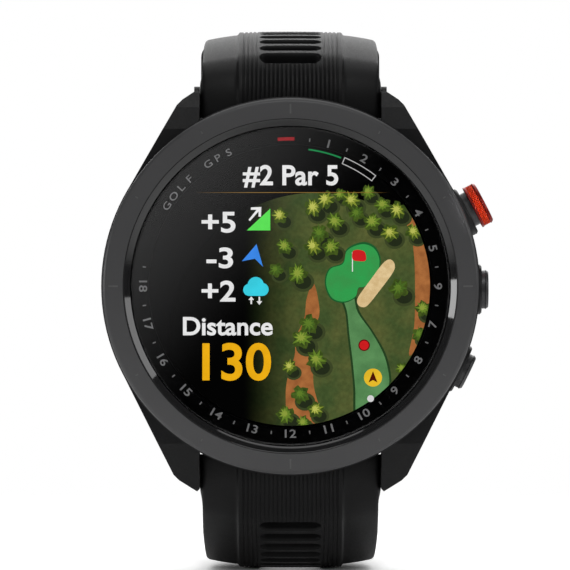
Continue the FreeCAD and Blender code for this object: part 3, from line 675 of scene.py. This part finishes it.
def map_features():
    left_strip = [(2.8, 0.4), (3.4, -1.5), (3.5, -3.8), (2.2, -6.2), (2.0, -7.7), (2.7, -10.0), (2.9, -12.5),
                  (3.6, -15.0), (4.4, -17.0), (2.0, -17.2), (-0.2, -16.4), (-0.6, -13.6), (-0.3, -11.0),
                  (0.5, -8.6), (0.7, -6.3), (1.7, -4.0), (2.0, -1.5)]
    right_strip = [(14.0, 8.6), (14.9, 6.4), (15.3, 3.4), (15.4, -0.3), (15.3, -4.9), (14.7, -8.6),
                   (17.0, -6.0), (17.4, -3.0), (17.5, 0.5), (17.3, 3.6), (16.4, 7.0), (15.4, 9.3)]
    strips = [inside_display(smooth_outline(left_strip)), inside_display(smooth_outline(right_strip))]
    lit_shape("map_dirt", strips, 2, (176, 112, 62), (1.2, (150, 92, 50)))
    fairway = [(6.4, -1.0), (7.7, -1.0), (8.3, -3.2), (10.1, -5.8), (11.7, -8.9), (12.2, -12.3),
               (11.0, -14.0), (9.5, -15.0), (8.2, -15.6), (8.0, -12.6), (7.7, -9.4), (7.3, -6.1), (7.0, -3.2)]
    lit_shape("map_fairway", [inside_display(smooth_outline(fairway))], 2,
            (96, 148, 92), (2.4, (78, 126, 76)))
    edge = [(6.0, -0.8), (7.9, -0.8), (8.55, -3.1), (10.3, -5.7), (11.95, -8.8), (12.45, -12.3),
            (11.2, -14.2), (9.5, -15.3), (7.9, -15.8), (7.75, -12.6), (7.45, -9.4), (7.05, -6.1),
            (6.75, -3.2)]
    lit_shape("map_fairway_edge", [inside_display(smooth_outline(edge))], 1.5, (38, 66, 34))
    green = [(8.8, 5.2), (10.3, 4.7), (11.0, 3.2), (10.6, 1.3), (9.2, 0.0), (8.4, -0.2), (8.0, -1.3),
             (6.6, -1.9), (5.1, -1.4), (4.4, 0.4), (4.9, 2.1), (6.5, 2.8), (7.0, 4.4)]
    lit_shape("map_green", [smooth_outline(green)], 3, (50, 162, 80), (2.0, (58, 150, 76)))
    rim = [(x * 1.02 - 0.16 + (x - 7.7) * 0.03, z * 1.06 - 0.05) for x, z in green]
    lit_shape("map_green_edge", [smooth_outline(rim)], 2.5, (30, 95, 48))
    bunker = smooth_outline([(12.4, 3.3), (12.9, 2.6), (12.6, 1.6), (10.9, -0.7), (9.6, -2.3), (8.9, -2.6),
                             (8.3, -2.2), (8.4, -1.3), (9.9, 0.8), (11.5, 2.9)])
    lit_shape("map_bunker", [bunker], 4, (232, 205, 155), (0.7, (214, 184, 132)))
    lit_shape("flag_pole", [[(7.6, 1.8), (7.72, 1.8), (7.72, 4.2), (7.6, 4.2)]], 5, WHITE)
    flag = smooth_outline([(7.7, 4.3), (8.4, 4.5), (9.2, 4.2), (9.3, 3.2), (8.5, 3.1), (7.7, 3.3)])
    lit_shape("flag_cloth", [flag], 6, (215, 35, 38))
    lit_shape("aim_dot_rim", [circle(9.1, -7.3, 0.72)], 4, (90, 12, 14))
    lit_shape("aim_dot", [circle(9.1, -7.3, 0.58)], 5, (212, 32, 34))
    lit_shape("ball_disc", [circle(10.2, -11.3, 1.12)], 5, (240, 195, 45))
    lit_shape("ball_arrow", [[(10.2, -10.5), (9.65, -11.9), (10.2, -11.6), (10.75, -11.9)]], 6, (80, 20, 8))
    lit_shape("hole_end_dot", [circle(9.9, -13.9, 0.42)], 5, (225, 225, 225))


# (x, z, radius, tint) of the trees on the map; tint 0 is dark green and 1 is yellow-green
TREES = (
    (-1.3, 8.7, 0.9, 0.8), (2.8, 9.7, 1.0, 0.8), (4.3, 10.7, 1.0, 0.9), (7.5, 10.6, 1.0, 0.8),
    (8.2, 9.0, 0.9, 0.4), (11.4, 10.0, 0.9, 0.7), (13.2, 9.4, 1.0, 0.9), (10.1, 7.9, 1.0, 0.5),
    (5.5, 8.0, 1.0, 0.7), (3.6, 6.5, 1.0, 0.4), (12.3, 6.6, 1.0, 0.8), (2.8, 4.9, 1.0, 1.0),
    (5.0, 4.8, 1.0, 0.7), (-0.7, 4.9, 0.9, 0.7), (0.9, 1.5, 1.1, 0.5),
    (-1.8, 2.0, 0.8, 0.3), (15.2, 6.7, 0.9, 0.8), (13.4, -0.3, 1.1, 0.1), (16.4, -2.8, 0.9, 0.7),
    (2.3, -4.7, 1.1, 0.2), (1.4, -6.5, 1.1, 0.6), (3.2, -9.1, 1.1, 0.5), (-0.1, -10.0, 0.8, 0.8),
    (1.2, -13.4, 1.0, 0.4), (-0.6, -15.9, 1.0, 0.6), (3.1, -15.3, 0.9, 0.8), (1.6, -16.9, 0.8, 0.6),
    (15.9, -6.0, 0.8, 0.4), (13.8, -10.2, 0.7, 0.6), (9.6, 11.6, 0.8, 0.6), (6.1, 11.3, 0.7, 0.5),
)


def rays(x, z, radius, count, spin, reach):
    """Points round (x, z). reach gives each one's distance as a share of the radius, by step and angle."""
    outline = []
    for step in range(count):
        angle = 2 * pi * step / count + spin
        away = radius * reach(step, angle)
        outline.append((x + away * cos(angle), z + away * sin(angle)))
    return inside_display(outline)


def map_trees():
    """Each tree is a shadow, a dark crown and a star of light fronds, spun by a fixed turn of its own."""
    shadows, deep_shadows, crowns, fronds, tips = [], [], [], [], []
    for index, (x, z, base_radius, tint) in enumerate(TREES):
        radius = 1.18 * base_radius
        spin = 2.4 * index
        shade_x, shade_z = x + 0.5 * radius, z - 0.75 * radius
        shadows.append(inside_display(circle(shade_x, shade_z, radius * 1.08, 18, 0.88)))
        deep_shadows.append(inside_display(circle(shade_x, shade_z, radius * 0.8, 18, 0.85)))
        crowns.append(rays(x, z, radius, 22, spin, lambda step, angle:
                           0.88 + 0.16 * sin(5 * angle + index) + 0.08 * sin(11 * angle)))
        star = rays(x, z + 0.08, radius, 18, spin, lambda step, angle:
                    0.82 + 0.26 * sin(3.7 * step + index) if step % 2 else 0.42)
        tip = rays(x - 0.1, z + 0.14, radius, 18, spin + 0.17, lambda step, angle:
                   0.52 + 0.2 * sin(2.9 * step + index) if step % 2 else 0.24)
        fronds.append((tint, star))
        tips.append((tint, tip))
    lit_shape("tree_shadows", shadows, 2.8, (62, 72, 40))
    lit_shape("tree_deep_shadows", deep_shadows, 3.0, (38, 46, 28))
    lit_shape("tree_crowns", crowns, 3.4, (72, 92, 32), (0.4, (52, 70, 26)))
    tones = (("dark", 0.0, 0.45, (74, 104, 36), (98, 128, 44)),
             ("mid", 0.45, 0.75, (104, 134, 44), (142, 160, 62)),
             ("light", 0.75, 1.1, (134, 148, 52), (192, 196, 92)))
    for label, low, high, frond_tone, tip_tone in tones:
        for part, stars, layer, tone in (("fronds", fronds, 4.2, frond_tone), ("tips", tips, 5.0, tip_tone)):
            chosen = [star for tint, star in stars if low <= tint < high]
            lit_shape(f"tree_{part}_{label}", chosen, layer, tone)


# =============================================================== straps
def along_strap(bends, s, out):
    """(y, z) of points a distance s along a strap half's centreline and out from it, in millimetres."""
    at, heading, start = np.array([PATH_Y, PATH_Z]), 0.0, 0.0
    y, z = np.zeros_like(s), np.zeros_like(s)
    stretches = [(None, PATH_STRAIGHT)] + [(r, radians(t)) for r, t in bends] + [(None, 10.0)]
    for index, (radius, amount) in enumerate(stretches):
        length = amount if radius is None else radius * amount
        here = (s >= start - 1e-9) if index else np.ones_like(s, bool)
        forward = np.array([sin(heading), cos(heading)])
        outward = np.array([-cos(heading), sin(heading)])
        if radius is None:
            spot = at + np.outer(s - start, forward) + np.outer(out, outward)
            at = at + forward * length
        else:
            centre = at - outward * radius
            angle = heading + (s - start) / radius
            spot = centre + (radius + out)[:, None] * np.stack([-np.cos(angle), np.sin(angle)], 1)
            heading += amount
            at = centre + radius * np.array([-cos(heading), sin(heading)])
        y[here], z[here] = spot[here, 0], spot[here, 1]
        start += length
    return y, z


def strap_length(bends):
    return PATH_STRAIGHT + sum(radius * radians(turn) for radius, turn in bends)


def ease(value, low, high):
    share = np.clip((value - low) / (high - low), 0, 1)
    return share * share * (3 - 2 * share)


def strap_columns():
    """(x, top, bottom) of the section's columns, from one edge to the other."""
    count = int(round(2 * BAND_HALF / RIB_PITCH)) * 6
    band = np.linspace(-BAND_HALF, BAND_HALF, count + 1)
    side = BAND_HALF + np.array([0.08, 0.16, 0.25, 0.36, 0.7, 1.3, 2.1, 2.9, 3.6, 4.1, 4.3, 4.42, 4.5, 4.55])
    x = np.concatenate([-side[::-1], band, side])
    u = np.abs(x)
    crown = STRAP_HALF_T - 0.1 * (u / BAND_HALF) ** 2
    shoulder = 0.95 - 0.6 * np.clip((u - BAND_HALF) / 4.3, 0, 1) ** 1.4
    edge_drop = 0.2 * np.clip((u - 10.6) / 0.35, 0, 1) ** 2
    step = ease(u, BAND_HALF, BAND_HALF + BAND_STEP)
    top = crown * (1 - step) + shoulder * step - edge_drop
    bottom = -STRAP_HALF_T + 0.55 * np.clip((u - 9.3) / 1.65, 0, 1) ** 2.2
    return x, top, bottom


def strap_rows(length, tail):
    """The distances along a strap half at which it has a section."""
    if tail:
        start = length - TAIL_REACH
        ends = [start + TAIL_REACH * sin(pi / 2 * i / 26) for i in range(1, 26)]
        return [*np.arange(0.0, start, 0.5), start, *ends, length - 0.03]
    ends = [length + BEAD_R * sin(pi / 2 * i / 8) for i in range(1, 8)]
    return [*np.arange(0.0, length, 0.5), length, *ends]


def tapered(x0, y):
    """The columns' places across the strap, where it has come as far back as y."""
    half = STRAP_HALF + (STRAP_END_HALF - STRAP_HALF) * np.clip(y / TAPER_Y, 0, 1)
    inner = BAND_HALF + BAND_STEP
    side = inner + (np.abs(x0) - inner) * (half - inner) / (STRAP_HALF - inner)
    return np.where(np.abs(x0) > inner, np.sign(x0) * side, x0)


def tail_end(x, top, bottom, left):
    """The section of the round, thinner tail, where left is the distance to its tip."""
    share = sqrt(max(0.0, 1 - (1 - left / TAIL_REACH) ** 2))
    thin = 0.55 + 0.45 * min(1.0, left / 2.5) ** 0.5
    return x * max(share, 0.03), top * thin, bottom * thin


def bead_end(top, bottom, past):
    """The section near the bead round the buckle's pin, where past is the distance beyond its centre."""
    share = ease(past, -BEAD_NECK, 0)
    swell = 1 + (BEAD_R / STRAP_HALF_T - 1) * share
    flat = STRAP_HALF_T - 0.05
    close = max(0.05, sqrt(max(0.0, 1 - (past / BEAD_R) ** 2))) if past > 0 else 1.0
    top = (top * (1 - share) + flat * share) * swell
    bottom = bottom * (1 - share) - flat * share * swell
    return top * close, bottom * close


def strap_rings(bends, slots, tail):
    """The sections of a flat strap half, each a ring of (across, along, out) points."""
    length = strap_length(bends)
    x0, top0, bottom0 = strap_columns()
    wave = 0.5 + 0.5 * np.cos(2 * pi * x0 / RIB_PITCH)
    groove = RIB_DEPTH * np.maximum(0, 2 * wave - 1) ** 0.8 * (np.abs(x0) < BAND_HALF - 0.2)
    over_slots = np.abs(x0) < SLOT_LENGTH / 2 + 0.2
    rib_end = length - (TAIL_RIB_GAP if tail else PIN_RIB_GAP)
    rings = []
    for s in strap_rows(length, tail):
        y, _ = along_strap(bends, np.array([s]), np.zeros(1))
        x = tapered(x0, y[0])
        ribbed = ease(s, 0.2, 1.2) * (1 - ease(s, rib_end - 2, rib_end))
        between = 1 - 0.85 * ease(s, slots[0] - 1.6, slots[0] - 1.0) * over_slots
        top, bottom = top0 - groove * ribbed * between, bottom0
        if tail and s > length - TAIL_REACH:
            x, top, bottom = tail_end(x, top, bottom, length - s)
        elif not tail and s > length - BEAD_NECK:
            top, bottom = bead_end(top, bottom, s - length)
        elif s < START_ROUND:
            close = 0.75 + 0.25 * sqrt(1 - (1 - s / START_ROUND) ** 2)
            top, bottom = top * close, bottom * close
        flare = 1 + BACK_FLARE * (1 - ease(s, 4.5, 7.5))
        around = [*zip(x, top), *zip(x[::-1] * flare, bottom[::-1])]
        rings.append([(across, s, out) for across, out in around])
    return rings


def strap_half(name, bends, slots, tail, replaced):
    """One half of the strap: made flat with its ribs and slots, then bent along its centreline."""
    rings = strap_rings(bends, slots, tail)
    verts, faces = prism(rings)
    faces = faces[:-2]
    count = len(rings[0])
    for start in (0, len(verts) - count):
        for step in range(count // 2 - 1):
            last = start + count - 1 - step
            faces.append([start + step, start + step + 1, last - 1, last])
    flat = add_object(name, verts, faces)
    flat.data.validate()
    outward_normals(flat)
    carve(flat, slot_cutter(slots))
    if not tail:
        carve(flat, tongue_cutter(strap_length(bends)))
    points = np.array([v.co for v in flat.data.vertices])
    y, z = along_strap(bends, points[:, 1], points[:, 2])
    bent = np.stack([points[:, 0], y, z], 1)
    flat.data.vertices.foreach_set("co", bent.astype(np.float32).ravel())
    carve(flat, bar_cutter())
    if tail:
        flat.data.transform(Matrix.Scale(-1, 4, (0, 0, 1)))
    outward_normals(flat)
    return finished(flat, replaced, ["strap_silicone"], 38, [replaced])


def stadium(half_x, half_s, count=10):
    """An outline with round ends, long along x."""
    flat = half_x - half_s
    right = [(flat + half_s * cos(a), half_s * sin(a))
             for a in (pi * (i / count - 0.5) for i in range(count + 1))]
    return right + [(-x, -s) for x, s in right]


def slot_cutter(slots):
    """All the slots of one strap half, each with its top edge eased outwards."""
    levels = ((-3.0, 0.0), (0.95, 0.0), (1.15, 0.03), (1.3, 0.1), (1.42, 0.22), (1.7, 0.5))
    parts = []
    first, count = slots
    for index in range(count):
        centre = first + index * SLOT_PITCH
        rings = []
        for height, grow in levels:
            outline = stadium(SLOT_LENGTH / 2 + grow, SLOT_HEIGHT / 2 + grow)
            rings.append([(x, centre + s, height) for x, s in outline])
        parts.append(prism(rings))
    return closed_object("slot_cutter", *joined_mesh(parts))


def tongue_cutter(length):
    """Room for the buckle's tongue in the strap's end."""
    half = TONGUE_HALF + 0.3
    outline = rounded([(-half, -2.6), (half, -2.6), (half, 4.0), (-half, 4.0)], [0.8, 0.8, 0, 0])
    rings = [[(x, length + s, n) for x, s in outline] for n in (-4.0, 4.0)]
    return closed_object("tongue_cutter", *prism(rings))


def bar_cutter():
    """Room for the bar's hook and the quick-release slide at the strap's end."""
    turns = [2 * pi * i / 40 for i in range(40)]
    radius = HOOK_R + 0.02
    barrel = [[(x, BAR_Y + radius * sin(t), BAR_Z + radius * cos(t)) for t in turns]
              for x in (-10.72, 10.72)]
    slide = box_mesh((-5.3, BAR_Y - 0.75, BAR_Z), (5.3, BAR_Y + 4, BAR_Z + HOOK_R + 4.0))
    return carve(closed_object("bar_cutter", *prism(barrel)), closed_object("slide_cutter", *slide), "UNION")


# =============================================================== keepers and buckle
def keeper(name, s0, body, replaced):
    """A rounded silicone loop round the strap, curved with it."""
    low, high = -STRAP_HALF_T - KEEPER_GAP, STRAP_HALF_T + KEEPER_GAP + TAIL_ROOM
    corners = [(-KEEPER_HALF, low), (KEEPER_HALF, low), (KEEPER_HALF, high), (-KEEPER_HALF, high)]
    inner = rounded(corners, 0.75, steps=8)
    count = len(inner)
    wall, width = KEEPER_WALL, KEEPER_WIDTH
    section = rounded([(0, 0), (wall, 0), (wall, width), (0, width)], [0.12, 0.55, 0.55, 0.12], steps=5)
    verts, faces = [], []
    for index, (x, n) in enumerate(inner):
        before, after = Vector(inner[index - 1]), Vector(inner[(index + 1) % count])
        tangent = (after - before).normalized()
        away = Vector((tangent.y, -tangent.x))
        for depth, along in section:
            verts.append((x + away.x * depth, s0 + along, n + away.y * depth))
    size = len(section)
    for index in range(count):
        faces += ring_faces(index * size, (index + 1) % count * size, size)
    points = np.array(verts)
    y, z = along_strap(UPPER_BENDS, points[:, 1], points[:, 2])
    made = closed_object(name, np.stack([points[:, 0], y, z], 1), faces)
    return finished(made, body, ["strap_silicone"], 45, replaced)


# =============================================================== buttons
BUTTONS = {
    "start": (27.5, -1.8, 2.75, 24.6, 26.2, "button_red", "button_rim"),
    "menu": (0.0, -0.4, 2.45, 23.0, 24.6, "button_grey", "button_grey"),
    "back": (-26.0, 0.0, 2.3, 23.0, 24.7, "button_grey", "button_grey"),
}


def button_matrix(angle, offset):
    turn = radians(angle)
    shift = Matrix.Translation((-offset * sin(turn), BUTTON_Y, offset * cos(turn)))
    return shift @ Matrix.Rotation(-turn, 4, "Y")


def button_cap(name, angle, offset, radius, x0, x1, side, rim):
    """A turned metal cap with a dished face. The start cap has a cross-knurled waist between two rims."""
    raised = name == "start"
    steps = 4
    neck = 2.2 if raised else radius - 0.3
    inner_x = 22.9 if raised else x0
    waist = radius - 0.07
    corners = [(0, inner_x), (neck, inner_x)]
    cuts = [0, 0.03]
    if raised:
        corners += [(neck, x0)]
        cuts += [0.05]
    corners += [(radius, x0), (radius, x0 + 0.22), (waist, x0 + 0.3), (waist, x1 - 0.42), (radius, x1 - 0.34),
                (radius - 0.25, x1), (radius * 0.62, x1), (radius * 0.55, x1 - 0.12), (0, x1 - 0.12)]
    cuts += [0.06, 0.05, 0.03, 0.03, 0.06, 0.1, 0.05, 0.08, 0]
    profile = rounded(corners, cuts, closed=False, steps=steps)
    dense, zones = [], []
    for start, stop in zip(profile[:-1], profile[1:]):
        pieces = 1
        zone = 2 if stop[1] < x0 - 0.02 else 1
        if abs(start[0] - waist) < 1e-3 and abs(stop[0] - waist) < 1e-3 and stop[1] - start[1] > 0.3:
            pieces = 12
        for step in range(pieces):
            share = step / pieces
            dense.append((start[0] + (stop[0] - start[0]) * share, start[1] + (stop[1] - start[1]) * share))
            zones.append(0 if pieces > 1 else zone)
    dense.append(profile[-1])
    made = lathe(f"{name}_cap", dense, 288, False, "X", zones)
    if raised:
        knurl(made, waist, x0 + 0.3, x1 - 0.42)
    made.data.transform(button_matrix(angle, offset))
    finished(made, f"{name}_button", [side, rim, "button_grey"], 40, [f"{name}_button_cap"])


def knurl(obj, waist, x0, x1):
    """Crossed grooves pressed into the waist."""
    for vertex in obj.data.vertices:
        x, y, z = vertex.co
        if abs(hypot(y, z) - waist) > 0.002 or not x0 < x < x1:
            continue
        turn = atan2(z, y)
        phase = (x - x0) / (x1 - x0) * pi * 3
        wave = min(abs(sin(20 * turn + phase)), abs(sin(20 * turn - phase)))
        scale = 1 - 0.06 * (1 - wave) ** 2
        vertex.co = (x, y * scale, z * scale)


# =============================================================== softer edges on CAD nodes
SOFT_EDGES = {
    "case_body": 0.14, "rear_cover": 0.14, "buckle_frame": 0.22, "buckle_tongue": 0.14,
    "start_button_collar": 0.1, "menu_button_collar": 0.1, "back_button_collar": 0.1,
    "upper_lug_bar": 0.08, "lower_lug_bar": 0.08, "upper_strap_latch": 0.08, "lower_strap_latch": 0.08,
    "sensor_window": 0.12, "buckle_pin": 0.08,
}


def soften(name, width_mm):
    """A rendered bevel on a CAD node's hard edges; its mesh stays as it is."""
    obj = NODES[name]
    bevel = obj.modifiers.new("edges", "BEVEL")
    bevel.width = width_mm * MM
    bevel.segments = 2
    bevel.limit_method = "ANGLE"
    bevel.angle_limit = radians(38)
    bevel.harden_normals = True


# =============================================================== stage
def camera():
    """Far off and straight in front of the dial, with a view about 70 mm wide at the bezel."""
    distance, view_width, sensor = 850.0, 70.34, 36.0
    made = bpy.data.cameras.new("camera")
    made.sensor_width = sensor
    made.lens = sensor * distance / view_width
    made.clip_start, made.clip_end = 0.01, 10
    holder = bpy.data.objects.new("camera", made)
    holder.location = (-0.68 * MM, (BEZEL_FRONT_Y - distance) * MM, 0.15 * MM)
    holder.rotation_euler = (pi / 2, 0, 0)
    SCENE.collection.objects.link(holder)
    SCENE.camera = holder


def aimed(light, place, aim):
    """The light's object, at its place and turned to its aim."""
    holder = bpy.data.objects.new(light.name, light)
    holder.location = place
    holder.rotation_euler = (Vector(aim) - Vector(place)).to_track_quat("-Z", "Y").to_euler()
    SCENE.collection.objects.link(holder)
    return holder


def softbox(name, place, aim, size, power):
    light = bpy.data.lights.new(name, "AREA")
    light.shape = "RECTANGLE"
    light.size, light.size_y = size
    light.energy = power
    aimed(light, place, aim).visible_camera = False


def snoot(name, place, aim, cone_deg, power):
    """A narrow spot of light on one small piece."""
    light = bpy.data.lights.new(name, "SPOT")
    light.energy = power
    light.spot_size = radians(cone_deg)
    light.spot_blend = 0.4
    light.shadow_soft_size = 0.004
    aimed(light, place, aim)


# (place, brightness) of the room along the view's axis, from 0 in front of the dial to 1 behind it
ROOM = ((0.012, 0.015), (0.04, 0.34), (0.10, 0.20), (0.25, 0.05), (0.5, 0.04), (0.8, 0.08))


def world():
    """White to the camera, and to light and reflections a grey room that is dark in front of the dial."""
    made = bpy.data.worlds.new("studio")
    made.use_nodes = True
    SCENE.world = made
    tree = made.node_tree
    tree.nodes.clear()
    out = node(tree, "ShaderNodeOutputWorld")
    place = node(tree, "ShaderNodeTexCoord")
    split = node(tree, "ShaderNodeSeparateXYZ")
    tree.links.new(place.outputs["Generated"], split.inputs["Vector"])
    along = node(tree, "ShaderNodeMapRange", From_Min=-1.0, From_Max=1.0)
    tree.links.new(split.outputs["Y"], along.inputs["Value"])
    ramp = node(tree, "ShaderNodeValToRGB")
    tree.links.new(along.outputs["Result"], ramp.inputs["Fac"])
    ramp.color_ramp.elements[0].color = (0.008, 0.008, 0.009, 1)
    ramp.color_ramp.elements[1].color = (0.10, 0.10, 0.10, 1)
    for position, value in ROOM:
        ramp.color_ramp.elements.new(position).color = (value, value, value, 1)
    room = node(tree, "ShaderNodeBackground", Strength=1.0)
    tree.links.new(ramp.outputs["Color"], room.inputs["Color"])
    white = node(tree, "ShaderNodeBackground", Strength=1.0, Color=(1, 1, 1, 1))
    seen = node(tree, "ShaderNodeLightPath")
    mix = node(tree, "ShaderNodeMixShader")
    tree.links.new(seen.outputs["Is Camera Ray"], mix.inputs["Fac"])
    tree.links.new(room.outputs["Background"], mix.inputs[1])
    tree.links.new(white.outputs["Background"], mix.inputs[2])
    tree.links.new(mix.outputs["Shader"], out.inputs["Surface"])


def floor():
    """A pale round floor that glows and thins out to the white around it. Near the watch its glow is darkened
    by ambient occlusion: a painted contact shadow.
    """
    radius, count = 0.75, 96
    fade_from, fade_to = 0.06, 0.34
    camera_glow, other_glow, shade_reach = 0.72, 0.15, 0.035
    low = CAD_BOX[0].z
    verts = [(0, 0, low)] + [(x, y, low) for x, y in circle(0, 0, radius, count)]
    faces = [[0, 1 + i, 1 + (i + 1) % count] for i in range(count)]
    made = add_object("floor", verts, faces)
    paint, tree, shader = new_material("floor")
    set_inputs(shader, Base_Color=(0.92, 0.92, 0.92, 1), Roughness=0.9, Specular_IOR_Level=0.1,
               Emission_Color=(1, 1, 1, 1))
    seen = node(tree, "ShaderNodeLightPath")
    glow = node(tree, "ShaderNodeMath")
    glow.operation = "MULTIPLY_ADD"
    glow.inputs[1].default_value = camera_glow
    glow.inputs[2].default_value = other_glow
    tree.links.new(seen.outputs["Is Camera Ray"], glow.inputs[0])
    # Painted contact shadow: the floor's glow is multiplied by ambient occlusion within shade_reach of the
    # watch.
    near = node(tree, "ShaderNodeAmbientOcclusion", Distance=shade_reach)
    shaded = node(tree, "ShaderNodeMath")
    shaded.operation = "MULTIPLY"
    tree.links.new(glow.outputs["Value"], shaded.inputs[0])
    tree.links.new(near.outputs["AO"], shaded.inputs[1])
    tree.links.new(shaded.outputs["Value"], shader.inputs["Emission Strength"])
    place = node(tree, "ShaderNodeTexCoord")
    away = node(tree, "ShaderNodeVectorMath")
    away.operation = "LENGTH"
    tree.links.new(place.outputs["Object"], away.inputs[0])
    clear = node(tree, "ShaderNodeBsdfTransparent")
    mix = node(tree, "ShaderNodeMixShader")
    tree.links.new(smooth_range(tree, away.outputs["Value"], fade_from, fade_to), mix.inputs["Fac"])
    tree.links.new(shader.outputs["BSDF"], mix.inputs[1])
    tree.links.new(clear.outputs["BSDF"], mix.inputs[2])
    tree.links.new(mix.outputs["Shader"], tree.nodes["Material Output"].inputs["Surface"])
    made.data.materials.append(paint)


def lights():
    softbox("top_box", (0.0, 0.22, 0.60), (0, 0.01, 0), (0.7, 0.6), 1.2)
    softbox("front_top", (0.0, -0.55, 0.70), (0, 0, 0), (0.5, 0.3), 1.0)
    softbox("left_strip", (-0.55, -0.07, 0.042), (0, -0.014, 0), (0.14, 0.13), 0.24)
    softbox("right_strip", (0.50, -0.06, 0.17), (0, -0.014, 0), (0.14, 0.28), 0.22)
    softbox("back_fill", (0.0, 0.6, 0.25), (0, 0.03, 0), (0.6, 0.4), 1.5)
    snoot("start_button_snoot", (0.20, -0.30, 0.12), (0.0234, -0.0068, 0.0101), 1.2, 4.6)


def reflection_card():
    """A dim card behind the camera, bright at its upper left, that the flat cover glass mirrors."""
    half, back = 0.16, -1.0
    verts = [(-half, back, -half), (half, back, -half), (half, back, half), (-half, back, half)]
    made = add_object("reflection_card", verts, [[0, 1, 2, 3]])
    paint, tree, _ = new_material("reflection_card")
    tree.nodes.clear()
    out = node(tree, "ShaderNodeOutputMaterial")
    place = node(tree, "ShaderNodeTexCoord")
    slant = node(tree, "ShaderNodeVectorMath")
    slant.operation = "DOT_PRODUCT"
    slant.inputs[1].default_value = (-0.75, 0.0, 0.66)
    tree.links.new(place.outputs["Object"], slant.inputs[0])
    shine = node(tree, "ShaderNodeEmission")
    tree.links.new(smooth_range(tree, slant.outputs["Value"], 0.0, 0.055, 0.62), shine.inputs["Strength"])
    tree.links.new(shine.outputs["Emission"], out.inputs["Surface"])
    made.data.materials.append(paint)
    made.visible_camera = False
    made.visible_diffuse = False
    made.visible_shadow = False


def main():
    SCENE.view_settings.view_transform = "Standard"
    camera()
    world()
    floor()
    lights()
    reflection_card()
    dress_cad_nodes()
    bezel()
    lens()
    index_ring()
    ring_print()
    display_base()
    map_ground()
    map_features()
    map_trees()
    readings()
    strap_half("upper_strap_half", UPPER_BENDS, UPPER_SLOTS, False, "upper_strap")
    strap_half("lower_strap_half", LOWER_BENDS, LOWER_SLOTS, True, "lower_strap")
    end = strap_length(UPPER_BENDS)
    keeper("fixed_keeper_loop", end - FIXED_KEEPER_BACK, "upper_strap", ["fixed_keeper"])
    keeper("sliding_keeper_loop", end - SLIDING_KEEPER_BACK, "sliding_keeper", ["sliding_keeper"])
    for name, values in BUTTONS.items():
        button_cap(name, *values)
    for name, width in SOFT_EDGES.items():
        soften(name, width)


main()
